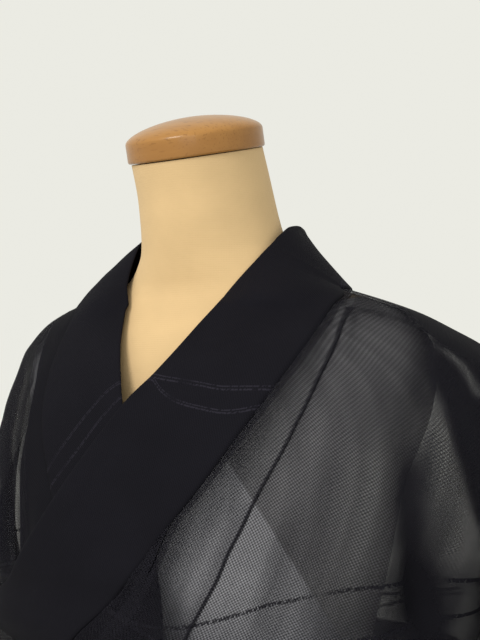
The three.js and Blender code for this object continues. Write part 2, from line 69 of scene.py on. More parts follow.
class Table:
    """Named columns of numbers, read from lines of text, with smooth curves through them."""

    def __init__(self, text: str) -> None:
        """Args: text: a line of column names, then a line of numbers for each row."""
        names, *lines = [line.split() for line in text.strip().splitlines()]
        values = np.array(lines, dtype=float)
        self.columns = {name: values[:, k] for k, name in enumerate(names)}
        self.key = names[0]

    def __getitem__(self, name: str) -> Array:
        """Returns the column of that name."""
        return self.columns[name]

    def look(self, name: str, at: Array | float) -> Array:
        """A cubic through the rows that never overshoots: slopes are harmonic means.

        Args: name: the column. at: values of the first column.
        Returns: the column's smooth value at each.
        """
        keys, values = self.columns[self.key], self.columns[name]
        step = np.diff(keys)
        slope = np.diff(values) / step
        tangent = np.concatenate([slope[:1], np.zeros(len(keys) - 2), slope[-1:]])
        product = slope[:-1] * slope[1:]
        total = slope[:-1] + slope[1:]
        safe = np.where(np.abs(total) < 1e-12, 1.0, total)
        tangent[1:-1] = np.where(product > 0, 2 * product / safe, 0.0)
        x = np.clip(np.asarray(at, dtype=float), keys[0], keys[-1])
        k = np.clip(np.searchsorted(keys, x, side="right") - 1, 0, len(step) - 1)
        h, t = step[k], (x - keys[k]) / step[k]
        return ((1 + 2 * t) * (1 - t) ** 2 * values[k] + t * (1 - t) ** 2 * h * tangent[k]
                + t * t * (3 - 2 * t) * values[k + 1] + t * t * (t - 1) * h * tangent[k + 1])


def ease(t: Array | float) -> Array:
    """The smooth step 3t^2 - 2t^3, with t held between 0 and 1."""
    x = np.clip(t, 0.0, 1.0)
    return x * x * (3 - 2 * x)


def ramp(value: Array | float, fade: Ramp) -> Array:
    """A smooth step over a start and a run. With a negative run it steps down."""
    return ease((value - fade[0]) / fade[1])


def hump(value: Array, middle: float, width: float) -> Array:
    """A bell of height 1."""
    return np.exp(-(((value - middle) / width) ** 2))


def lens(share: Array | float) -> Array:
    """A slit's opening along its length: none at either end, 1 in the middle."""
    return np.sin(math.pi * np.clip(share, 0, 1)) ** 0.7


def mix(a: Array | float, b: Array | float, t: Array | float) -> Array:
    """The straight mix a + (b - a) t."""
    return a + (b - a) * t


def around(degrees: Array, z: Array, reach: Array) -> Array:
    """Points at an angle, height and distance from the axis: (r sin, -r cos, z).

    Args: degrees, z, reach: arrays that broadcast together.
    Returns: an array with a last axis of three.
    """
    turn = np.radians(degrees)
    x, y, height = np.broadcast_arrays(reach * np.sin(turn), -reach * np.cos(turn), z)
    return np.stack([x, y, height], axis=-1)


def ring_reach(half: Array, front: Array, back: Array, power: Array, degrees: Array) -> Array:
    """Distance from the axis to a superellipse: (|sin|/half)^n + (|cos|/depth)^n = r^-n."""
    s, c = np.abs(np.sin(np.radians(degrees))), np.cos(np.radians(degrees))
    depth = np.where(c >= 0, front, back)
    return ((s / half) ** power + (np.abs(c) / depth) ** power) ** (-1 / power)


def ripple(a: Array, b: Array, seed: int, count: int = 7) -> Array:
    """A smooth uneven field between about -1 and 1: a sum of sines with seeded wave vectors.

    Args: a, b: coordinates in wavelengths. seed: picks the waves. count: how many waves.
    Returns: the field.
    """
    waves = np.random.default_rng(seed)
    total = np.zeros(np.broadcast(a, b).shape)
    for _ in range(count):
        turn, phase = waves.uniform(0, 2 * math.pi, 2)
        pitch = waves.uniform(0.6, 1.5)
        total = total + np.sin(2 * math.pi * pitch * (a * math.cos(turn) + b * math.sin(turn)) + phase)
    return total / math.sqrt(count * 1.5)


# ------------------------------------------------------------------ sizes of the garment

CLOTH = 0.5
PLY = 3.4
OVER = 5.7
OVER_WAIST = 3 * PLY
HEM_Z = 35.0
FOLD_LOW_Z = 872.0
FOLD_HIGH_Z = 1064.0
FOLD_TURN = 4.0
BODICE_Z = 1108.0
NECK_Z = 1336.0
ARMHOLE_TOP_Z = 1240.0
ARMHOLE_LOW_Z = 1085.0
ARMHOLE_HALF = 24.0
TUCK_UNDER = 5.0
GORE_TIP_Z = 1160.0
SIDE_SEAM = 90.0
SEAM_GAP = 0.08
BEYOND_SEAM = 200.0
NO_LINE = 99.0
BODICE: Ramp = (1050.0, 25.0)
BEFORE_SEAM: Ramp = (SIDE_SEAM, -0.001)

ROBE = Table("""
    z     left  right  front  back  power
    35    172   172    128    128   2.2
    300   176   176    130    130   2.2
    600   182   182    132    134   2.2
    800   184   184    128    138   2.2
    900   176   176    116    128   2.2
    960   150   150    104    106   2.2
    1000  136   136     97     92   2.2
    1040  140   138    99     92   2.2
    1050  176   184    106    97   2.2
    1062  206   200    112    103  2.2
    1080  226   208    118    107  2.2
    1120  244   211    126    110  2.3
    1170  264   210    124    111  2.4
    1215  270   209    119    112  2.4
    1240  267   204    114    110   2.4
    1270  252   199    101    104   2.4
    1290  227   195.5   88     95   2.4
    1302  206   190     80     88   2.3
    1315  181   178.5   72     81   2.2
    1326  152   158     66     76   2.1
    1336  121   128     62     72   2.0""")

LEFT_FRONT = Table("""
    z     collar  gore
    35     -50     -6
    700    -47     -8
    800    -45     -8
    900    -42     -9
    1000   -38    -12
    1040   -33    -12
    1066   -21     -6.5
    1101    -3      5.8
    1131     9.2   13.3
    1160    19.5   19.5
    1186    28.4   28.4
    1211    35.6   35.6
    1240    43.5   43.5
    1260    49     49
    1285    56.6   56.6
    1306    64.4   64.4
    1320    71     71
    1336    86     86""")

RIGHT_FRONT = Table("""
    z     collar  gore
    35     -44      6
    700    -40      8
    800    -32      8
    900    -20     10
    1000     5     18
    1040    20     25
    1066    24     28
    1101    27     30
    1131    29.5   31
    1160    32     32
    1186    36     36
    1211    40.5   40.5
    1240    45     45
    1260    48.5   48.5
    1285    54     54
    1306    60     60
    1320    65     65
    1329    73     73
    1336    86     86""")

LEFT_EDGE = Table("""
    seam   angle  z     reach
    872     -74    872    0
    1000    -76   1000    0
    1040    -76   1042    0
    1062     -72   1074    0
    1085     -61   1089    0
    1108     -51   1106    0
    1131     -41   1137    0
    1160     -30   1172    0
    1186     -20   1203    0
    1211     -10   1231    0
    1240     -1   1254    0
    1260      6   1268    0
    1285     15   1289    0
    1302     23   1306    0
    1315     33.5 1324    0
    1326     47   1345   72.5
    1336     63   1366   71.5""")

RIGHT_EDGE = Table("""
    seam   angle  z     reach
    1040    -16   1040    0
    1062    -15.5 1062    0
    1085    -15   1085    0
    1108    -14.5 1108    0
    1131    -13   1131    0
    1160    -13   1160    0
    1186    -8    1190    0
    1211    -1    1218    0
    1240     7    1246    0
    1260    14    1270    0
    1285    27    1300    0
    1302    36    1321    0
    1315     46    1343   78
    1326     57    1362   74
    1336     68    1381   70""")

NECK_EDGE = Table("""
    seam   angle  z     reach
    90       70   1373   70
    97.3     80   1382   67.5
    109.4    97   1391   65
    124.1   116   1394   67.5
    141.1   136   1393   74
    160     158   1391   82
    180     180   1390   87""")

RIGHT_NECK_EDGE = Table("""
    seam   angle  z     reach
    90       74   1386   67.5
    97.3     83   1390   67
    109.4    98   1393   67
    124.1   116   1394   70
    141.1   136   1393   77
    160     158   1391   84
    180     180   1390   87""")

# The sharp tuck down each front, by height.
LEFT_TUCK = Table("""
    z     angle
    35     24
    860    22
    1040   20
    1076   24
    1100   29
    1121   33.4
    1141   36.4
    1157   39.3
    1177   42.4
    1212   48.4
    1235   52
    1269   58.2
    1295   64.8
    1309   69.5
    1318   74
    1336   88""")

RIGHT_TUCK = Table("""
    z     angle
    35     44
    860    46
    1060   47
    1135   47.5
    1200   47.5
    1240   49
    1265   53
    1283   58.5
    1300   64.5
    1318   73
    1336   88""")

# Where the cloth of the left front leaves the form at the side; from there on it takes painted shade.
LEFT_SHADE = Table("""
    z     angle
    1040  100
    1080   95
    1110   88
    1144   82.5
    1171   78
    1191   76.3
    1221   74.5
    1256   74.5
    1276   76.5
    1296   81.8
    1336   92""")

# Two woven lines across the collar, by angle round the body.
COLLAR_WATER = Table("""
    angle  first  second
    -180   1372   1382
    -90    1300   1330
    -40    1186   1164
    -32    1210   1188
    -22    1240   1216
    -15    1258   1236
    -4     1268   1258
    6      1267   1265
    12     1265   1256
    19     1263   1248
    28     1260   1243
    36     1257   1240
    48     1257   1246
    70     1290   1262
    90     1340   1330
    180    1372   1382""")

# Where the left front passes the outline of the form behind it, by height; past it, painted shade.
FORM_SHADE = Table("""
    z     angle
    1040   64.4
    1102   65.0
    1137   65.6
    1172   66.8
    1189   67.7
    1207   68.9
    1223   70.3
    1241   72
    1258   74
    1277   76.2
    1296   80.3
    1336   90""")

DRAPE = Table("""
    angle  half  depth  low   high
    47      8     4     1050  1200
    60      8     7     1044  1236
    73      7     6     1046  1216
    108    10     6     1046  1216
    126    12     7     1044  1232
    146    12     5     1046  1204
    64     14     7      -40   850
    104    14     8      -40   830
    140    17     6      -40   790""")

FORM = Table("""
    z     half  front  back  power  shift  tilt
    780   150    92    108   2.3     0      0
    840   164    98    116   2.3     0      0
    900   156    94    106   2.3     0      0
    960   130    86     84   2.2     0      0
    1005  120    82     78   2.2     0      0
    1060  132    94     82   2.2     0      0
    1120  148   106     88   2.2     0      0
    1180  160   104     94   2.3     0      0
    1240  184    92     96   2.4     0      0
    1270  190    84     90   2.4     0      0
    1290  188    76     84   2.4     0      0
    1302  183    71     78   2.3     0      0
    1315  172.5  64     73   2.2     0      0
    1326  146    60     69   2.1     0      0
    1336  114    57.5   65   2.0    -0.5    1
    1344   93    57     62   2.0    -1.5    2
    1352   80.5  57.5   60   2.0    -3      3
    1362   71    58     59   2.0    -5      4.5
    1376   62.5  58     58   2.0    -8.5    6.5
    1400   57.5  57.5   57.5 2.0   -15.5    9
    1425   55.5  55.5   56   2.0   -23.5   12
    1450   54.5  54.5   55   2.0   -33.5    15""")


# ------------------------------------------------------------------ meshes


@dataclass
class Surface:
    """An open sheet of quads: points in millimetres, quads, and values at each point."""

    points: Array
    quads: Array
    uv: Array
    values: dict[str, Array] = field(default_factory=dict)


def grid_quads(index: Array, flip: bool) -> Array:
    """Quads between neighbouring entries of a grid of point numbers.

    Args: index: rows by columns. flip: turns the outer face round.
    Returns: an array of quads.
    """
    quads = np.stack([index[:-1, :-1], index[:-1, 1:], index[1:, 1:], index[1:, :-1]], axis=-1)
    quads = quads.reshape(-1, 4)
    return quads[:, ::-1] if flip else quads


def point_normals(points: Array, quads: Array) -> Array:
    """Mean direction of the quads round each point: the sum of their diagonals' cross products."""
    first, second = (points[quads[:, k + 2]] - points[quads[:, k]] for k in (0, 1))
    cross = np.cross(first, second)
    normals = np.zeros_like(points)
    for k in range(4):
        np.add.at(normals, quads[:, k], cross)
    return normals / np.maximum(np.linalg.norm(normals, axis=1, keepdims=True), 1e-12)


def close_shell(outer: Array, inner: Array, quads: Array) -> tuple[Array, Array]:
    """Joins two faces of a sheet round every free edge: an edge that only one quad uses.

    Args: outer, inner: the points of each face. quads: the sheet's quads.
    Returns: all points, and all quads of the closed body.
    """
    count = len(outer)
    edges = np.concatenate([quads[:, [k, (k + 1) % 4]] for k in range(4)])
    forward = edges[:, 0].astype(np.int64) * count + edges[:, 1]
    back = edges[:, 1].astype(np.int64) * count + edges[:, 0]
    free = edges[~np.isin(forward, back)]
    rim = np.stack([free[:, 0], free[:, 0] + count, free[:, 1] + count, free[:, 1]], axis=-1)
    return np.concatenate([outer, inner]), np.concatenate([quads, quads[:, ::-1] + count, rim])


def make_mesh(name: str, points: Array, quads: Array, uv: Array, values: dict[str, Array]) -> Piece:
    """A smooth mesh object in metres, with a UV map and point values.

    Args: name: of the object. points: in millimetres. quads: of point numbers.
        uv: two numbers a point. values: a number a point, by name.
    Returns: the object, linked to the scene.
    """
    mesh = bpy.data.meshes.new(name)
    mesh.vertices.add(len(points))
    mesh.vertices.foreach_set("co", (points * METRES).astype(np.float32).ravel())
    mesh.loops.add(quads.size)
    mesh.loops.foreach_set("vertex_index", quads.ravel().astype(np.int32))
    mesh.polygons.add(len(quads))
    mesh.polygons.foreach_set("loop_start", np.arange(0, quads.size, 4, dtype=np.int32))
    mesh.polygons.foreach_set("use_smooth", np.ones(len(quads), dtype=bool))
    layer = mesh.uv_layers.new(name="UVMap")
    layer.data.foreach_set("uv", uv[quads.ravel()].astype(np.float32).ravel())
    for key, column in values.items():
        attribute = mesh.attributes.new(key, "FLOAT", "POINT")
        attribute.data.foreach_set("value", column.astype(np.float32))
    mesh.update(calc_edges=True)
    mesh.validate()
    made = bpy.data.objects.new(name, mesh)
    bpy.context.scene.collection.objects.link(made)
    return made


def make_shell(name: str, sheet: Surface, thickness: Array | float) -> Piece:
    """Thickens a sheet half to each side along its point normals and closes its edges."""
    normals = point_normals(sheet.points, sheet.quads)
    half = np.broadcast_to(np.asarray(thickness, dtype=float) / 2, (len(sheet.points),))[:, None]
    outer, inner = sheet.points + normals * half, sheet.points - normals * half
    points, quads = close_shell(outer, inner, sheet.quads)
    twice = {key: np.concatenate([column, column]) for key, column in sheet.values.items()}
    return make_mesh(name, points, quads, np.concatenate([sheet.uv, sheet.uv]), twice)


def flat_pairs(first: Array, second: Array) -> Array:
    """Two arrays that broadcast together, as a list of pairs."""
    return np.stack(np.broadcast_arrays(first, second), axis=-1).reshape(-1, 2)


def grid_numbers(rows: int, columns: int, closed: bool = False) -> Array:
    """A grid of point numbers, its first column again at the end where it closes on itself."""
    index = np.arange(rows * columns).reshape(rows, columns)
    return np.concatenate([index, index[:, :1]], axis=1) if closed else index


def weld(made: Piece) -> Piece:
    """Joins points that share one place, so that fans of quads close to triangles at a tip."""
    joined = bmesh.new()
    joined.from_mesh(made.data)
    bmesh.ops.remove_doubles(joined, verts=joined.verts, dist=SAME_PLACE)
    joined.to_mesh(made.data)
    joined.free()
    return made


def turned_solid(name: str, profile: Profile, steps: int) -> Piece:
    """A profile of radius and height turned about the vertical axis, closed on the axis.

    Args: name: of the object. profile: from the axis, outwards, up and back to the axis.
        steps: round the axis.
    Returns: the object, its ends closed by fans that meet on the axis.
    """
    rings = np.array(profile, dtype=float)
    turn = np.linspace(0, 2 * math.pi, steps, endpoint=False)
    x = rings[:, :1] * np.cos(turn)
    y = rings[:, :1] * np.sin(turn)
    points = np.stack([x, y, np.broadcast_to(rings[:, 1:], x.shape)], axis=-1).reshape(-1, 3)
    quads = grid_quads(grid_numbers(len(rings), steps, True), False)
    along = summed(np.linalg.norm(np.diff(rings, axis=0), axis=1), 0)
    uv = flat_pairs(turn[None, :] * TURN_LENGTH, along[:, None] * METRES)
    return weld(make_mesh(name, points, quads, uv, {}))


def dress(made: Piece, material: Material, node: str) -> Piece:
    """Gives a piece its finish, lets it ride on the root, and hides the model's part for that node."""
    made.data.materials.append(material)
    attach(made, "root")
    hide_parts(node)
    LOG.info("%s: %d faces", made.name, len(made.data.polygons))
    return made


def rounded(radius: float, z: float, bend: float, start: float, end: float,
            steps: int = 8) -> Profile:
    """Points of an arc in a turned profile, by its centre, its bend and two angles in degrees."""
    angles = np.radians(np.linspace(start, end, steps + 1))
    return [(radius + bend * math.cos(a), z + bend * math.sin(a)) for a in angles]


# ------------------------------------------------------------------ the cloth's shape


@dataclass(frozen=True)
class Fold:
    """A soft line down the cloth: a trough, or with a negative depth a ridge.

    Its path goes down through places, each an angle towards its side and a height. Along a trough
    the cloth takes more cover by a share, from doubled cloth and as painted shade in the crease;
    a negative share is painted light along a ridge.
    """

    side: int
    path: Path
    width: float
    depth: float
    cover_and_shade: float
    spread: float = 1.0
    fade: float = 30.0

    def bell(self, degrees: Array, z: Array, reach: Array) -> Array:
        """A bell across the fold, wider by its spread at the low end and faded at both ends."""
        low, high = self.path[-1][1], self.path[0][1]
        share = np.clip((high - z) / (high - low), 0, 1)
        away = path_distance(self.path, degrees, z, reach)
        wide = self.width * mix(1.0, self.spread, share)
        ends = ease((z - low) / self.fade) * ease((high - z) / self.fade)
        return np.exp(-(away / wide) ** 2) * ends


def path_distance(path: Path, degrees: Array, z: Array, reach: Array) -> Array:
    """Distance in millimetres from a path, measured square to it; it grows with the angle."""
    angles, heights = np.array(path).T[:, ::-1]
    return square_distance(lambda at: np.interp(at, heights, angles), degrees, z, reach)


def square_distance(line: Callable[[Array], Array], degrees: Array, z: Array, reach: Array) -> Array:
    """Distance in millimetres, measured square to a line whose angle is known at each height."""
    slope = (line(z + 2) - line(z - 2)) / 4
    scale = np.radians(1.0) * reach
    return (degrees - line(z)) * scale / np.sqrt(1 + (slope * scale) ** 2)


# Each fold bends the cloth and changes its cover: painted shade in troughs, painted light along ridges.
FOLDS: tuple[Fold, ...] = (
    Fold(1, ((69.5, 1236), (69, 1222), (68.6, 1208), (68.4, 1180), (69.3, 1154), (71.8, 1127),
             (74, 1110), (76, 1093), (79, 1058)), 8.5, 6, 0.35, 1.4, 44),
    Fold(1, ((71, 1250), (72, 1230), (74, 1196), (77, 1147), (81, 1113), (84, 1085)),
         7, -4, -0.03, 1.4, 26),
    Fold(1, ((64, 1224), (62.6, 1172), (62, 1127), (61, 1078)), 3.4, -2.2, -0.075, 1.5),
    Fold(1, ((66, 1160), (65.4, 1127), (66.4, 1090), (66, 1060)), 3.4, -2, -0.10, 1.3),
    Fold(1, ((61, 1268), (58, 1225), (56, 1180), (54.5, 1130), (53, 1078)), 6, 2.6, 0.045, 1.4),
    Fold(1, ((59, 1236), (58.6, 1200), (58, 1140), (57.5, 1080)), 4.5, -1.6, -0.045, 1.3),
    Fold(1, ((52, 1186), (48.5, 1150), (46.5, 1108), (45, 1062)), 6, 2, 0.05, 1.5),
    Fold(1, ((71, 1296), (67, 1262), (64.5, 1236), (63.5, 1206)), 5, 1.8, 0.05, 1.3),
    Fold(1, ((76, 1286), (72.5, 1262), (70.5, 1240)), 8, 1.5, 0.08, 1.0, 16),
    Fold(-1, ((66.5, 1302), (60.5, 1285), (54.6, 1265), (51, 1240), (49.6, 1200), (49.8, 1135),
              (49, 1062)), 3.8, -2.4, -0.46, 1.2),
    Fold(-1, ((47.6, 1236), (46.6, 1206), (45.2, 1183), (44.4, 1157), (44.6, 1120)),
         1.0, -1.4, -0.26, 1.0, 60),
    Fold(-1, ((69, 1300), (63.5, 1283), (59, 1262), (55.5, 1233), (54.4, 1189), (55, 1120)),
         4.2, -2, -0.42, 1.4),
    Fold(-1, ((70, 1290), (66, 1258), (62, 1215), (61, 1160), (60, 1090)), 6, 4.5, 0.07, 1.5),
    Fold(-1, ((75, 1280), (70, 1240), (67, 1190), (67, 1130)), 4, -2, -0.08, 1.5),
    Fold(-1, ((80, 1262), (76, 1210), (75, 1150), (76, 1070)), 7, 5, 0.08, 1.6),
    Fold(1, ((158, 1262), (160, 1180), (163, 1110), (165, 1066)), 6, 3.5, 0.08, 1.5),
    Fold(1, ((135, 1228), (137, 1160), (139, 1068)), 5, 3, 0.08, 1.6),
    Fold(1, ((117, 1242), (118, 1180), (121, 1062)), 7, 4, 0.1, 1.5),
    Fold(1, ((151, 1206), (152, 1130), (153, 1066)), 4, -2, -0.04, 1.3),
    Fold(1, ((101, 1232), (103, 1150), (104, 1060)), 6, 4, 0.08, 1.8),
    Fold(-1, ((161, 1248), (159, 1170), (160, 1066)), 7, 4, 0.09, 1.4),
    Fold(-1, ((141, 1212), (143, 1140), (142, 1062)), 5, 3, 0.07, 1.6),
    Fold(-1, ((112, 1246), (115, 1190), (114, 1060)), 8, 5, 0.1, 1.4),
    Fold(-1, ((127, 1224), (129, 1150), (131, 1066)), 4, 2.5, 0.06, 1.8),
    Fold(-1, ((99, 1238), (100, 1160), (103, 1064)), 5, 3, 0.08, 1.5),
    Fold(1, ((23, 868), (20, 600), (17, 300), (16, 30)), 8, 5, 0.07, 1.8),
    Fold(1, ((46, 868), (44, 520), (47, 140)), 7, 5, 0.06, 1.7),
    Fold(1, ((84, 866), (86, 500), (88, 30)), 9, 8, 0.09, 1.6),
    Fold(1, ((121, 868), (121, 560), (124, 200)), 8, 6, 0.08, 1.7),
    Fold(1, ((160, 868), (158, 480), (157, 30)), 9, 6, 0.07, 1.5),
    Fold(1, ((172, 812), (170, 560), (170, 310)), 6, 4, 0.05, 1.6),
    Fold(-1, ((30, 868), (28, 640), (27, 400)), 7, 4, 0.05, 1.8),
    Fold(-1, ((52, 868), (54, 500), (53, 30)), 9, 7, 0.08, 1.6),
    Fold(-1, ((78, 868), (76, 590), (74, 240)), 7, 5, 0.07, 1.8),
    Fold(-1, ((112, 868), (114, 500), (115, 30)), 10, 8, 0.09, 1.4),
    Fold(-1, ((134, 862), (133, 600), (135, 360)), 7, 5, 0.06, 1.7),
    Fold(-1, ((155, 868), (156, 440), (154, 30)), 8, 6, 0.07, 1.6),
    Fold(1, ((27, 1068), (25, 1036)), 3.5, 1.8, 0.05, 0.7, 14),
    Fold(1, ((58, 1070), (60, 1038)), 4.5, 2, 0.06, 0.7, 14),
    Fold(1, ((76, 1068), (74, 1036)), 3.5, 1.8, 0.05, 0.7, 12),
    Fold(1, ((38, 1006), (36, 940), (37, 884)), 5, 2, 0.05, 1.5, 16),
    Fold(1, ((70, 1006), (73, 950), (74, 900)), 4, 2, 0.05, 1.7, 16),
    Fold(1, ((112, 1006), (110, 958), (111, 910)), 5, 2, 0.05, 1.5, 16),
    Fold(1, ((146, 1006), (148, 930), (147, 880)), 4, 2, 0.05, 1.8, 16),
    Fold(-1, ((44, 1006), (46, 950), (45, 890)), 4, 2, 0.05, 1.6, 16),
    Fold(-1, ((84, 1006), (82, 945), (83, 880)), 5, 2, 0.05, 1.5, 16),
    Fold(-1, ((124, 1006), (127, 960), (126, 915)), 4, 2, 0.05, 1.7, 16),
    Fold(-1, ((160, 1006), (158, 940), (160, 885)), 4.5, 2, 0.05, 1.6, 16),
    Fold(-1, ((66, 1070), (64, 1038)), 4, 1.8, 0.05, 0.7, 14),
    Fold(-1, ((108, 1070), (110, 1038)), 4.5, 2, 0.06, 0.7, 14),
    Fold(1, ((130, 1070), (129, 1038)), 4, 2, 0.06, 0.7, 14),
)

SHOULDER_LINE = ((73.5, 1318), (76.7, 1315), (79.5, 1309), (82, 1301), (82, 1291), (82, 1280))


@dataclass(frozen=True)
class Shade:
    """A patch where the cloth stops more light, or less: an amount with ramps by angle and height."""

    amount: float
    angles: tuple[Ramp, ...] = ()
    heights: tuple[Ramp, ...] = ()

    def at(self, degrees: Array, z: Array) -> Array:
        """The patch's share of cover at each place."""
        total = self.amount * np.ones(np.broadcast(degrees, z).shape)
        for value, fades in ((degrees, self.angles), (z, self.heights)):
            for fade in fades:
                total = total * ramp(value, fade)
        return total


def all_shades(shades: tuple[Shade, ...], degrees: Array, z: Array) -> Array:
    """The sum of several patches."""
    return sum(shade.at(degrees, z) for shade in shades)


# The left front: painted light on its flank and its low part, painted shade on its upper part.
LEFT_SHADES = (
    Shade(-0.05, ((57, 4), (67, -2.5)), ((1235, -30), BODICE)),
    Shade(-0.035, ((61, -5),), ((1150, -40), BODICE)),
    Shade(0.02, (BEFORE_SEAM,), ((1230, 60),)),
)
# By its tuck: a painted shadow inside it, low down, and outside it, high up, with painted light on the
# ridge between.
TUCK_INNER = Shade(0.16, (), ((1215, -60), BODICE))
TUCK_OUTER = Shade(0.10, (), ((1155, 60), BODICE))
TUCK_RIDGE_LIGHT = Shade(-0.08, (), ((1155, 60), BODICE))
TUCK_INNER_REACH, TUCK_OUTER_REACH, TUCK_RIDGE_LIGHT_PLACE = 9.0, 7.0, (-8.0, 6.0)
# Painted shade at its side, where it leaves the form, by millimetres round the cloth.
SIDE_SHADE = Shade(0.56, (), (BODICE, (1330, -20)))
SIDE_BLUR, SIDE_END = (-8.0, 10.0), (108.0, -14.0)
# Painted shade past the outline of the form behind it, by degrees.
PAST_FORM = (Shade(0.17), Shade(0.17, (), ((1146, -24),)), Shade(0.02, (), ((1165, 40),)),
             Shade(0.04, ((68.8, -2.6),), ((1162, -14),)))
FORM_BLUR, FORM_END = (-1.4, 2.0), (96.0, -6.0)
# A patch of open mesh by the shoulder, the collar's lap, and the seam along the shoulder.
MESH_PATCH, MESH_PLACE = Shade(-0.42, (), ((1246, 10), (1292, -12))), (79.6, 0.9)
COLLAR_LAP = Shade(0.24, (), ((1150, -12), (1052, 8)))
LAP_ANGLE, LAP_Z, LAP_SLOPE, LAP_BLUR = 14.6, 1131.0, 0.054, (0.0, -0.8)
SHOULDER_SEAM = Shade(0.28, ((72, 2), (92, -0.001)), ((1280, 10),))
SHOULDER_BACK = Shade(0.10, SHOULDER_SEAM.angles, SHOULDER_SEAM.heights)
SHOULDER_WIDTH, SHOULDER_BLUR = 2.2, (0.0, 3.0)
# The right front: darker all over, most of all in front and inside its tuck, with faint ribs.
RIGHT_SHADES = (Shade(0.13, (), (BODICE,)), Shade(0.20, ((112, -14),), (BODICE,)))
RIGHT_TUCK_SHADE, RIGHT_TUCK_BLUR = Shade(0.30, (BEFORE_SEAM,), (BODICE,)), (2.0, -4.0)
RIGHT_RIBS, RIB_TURN = Shade(-0.15, ((44.6, 2), (72, -0.001)), ((1108, 24), (1196, -26))), 2.1


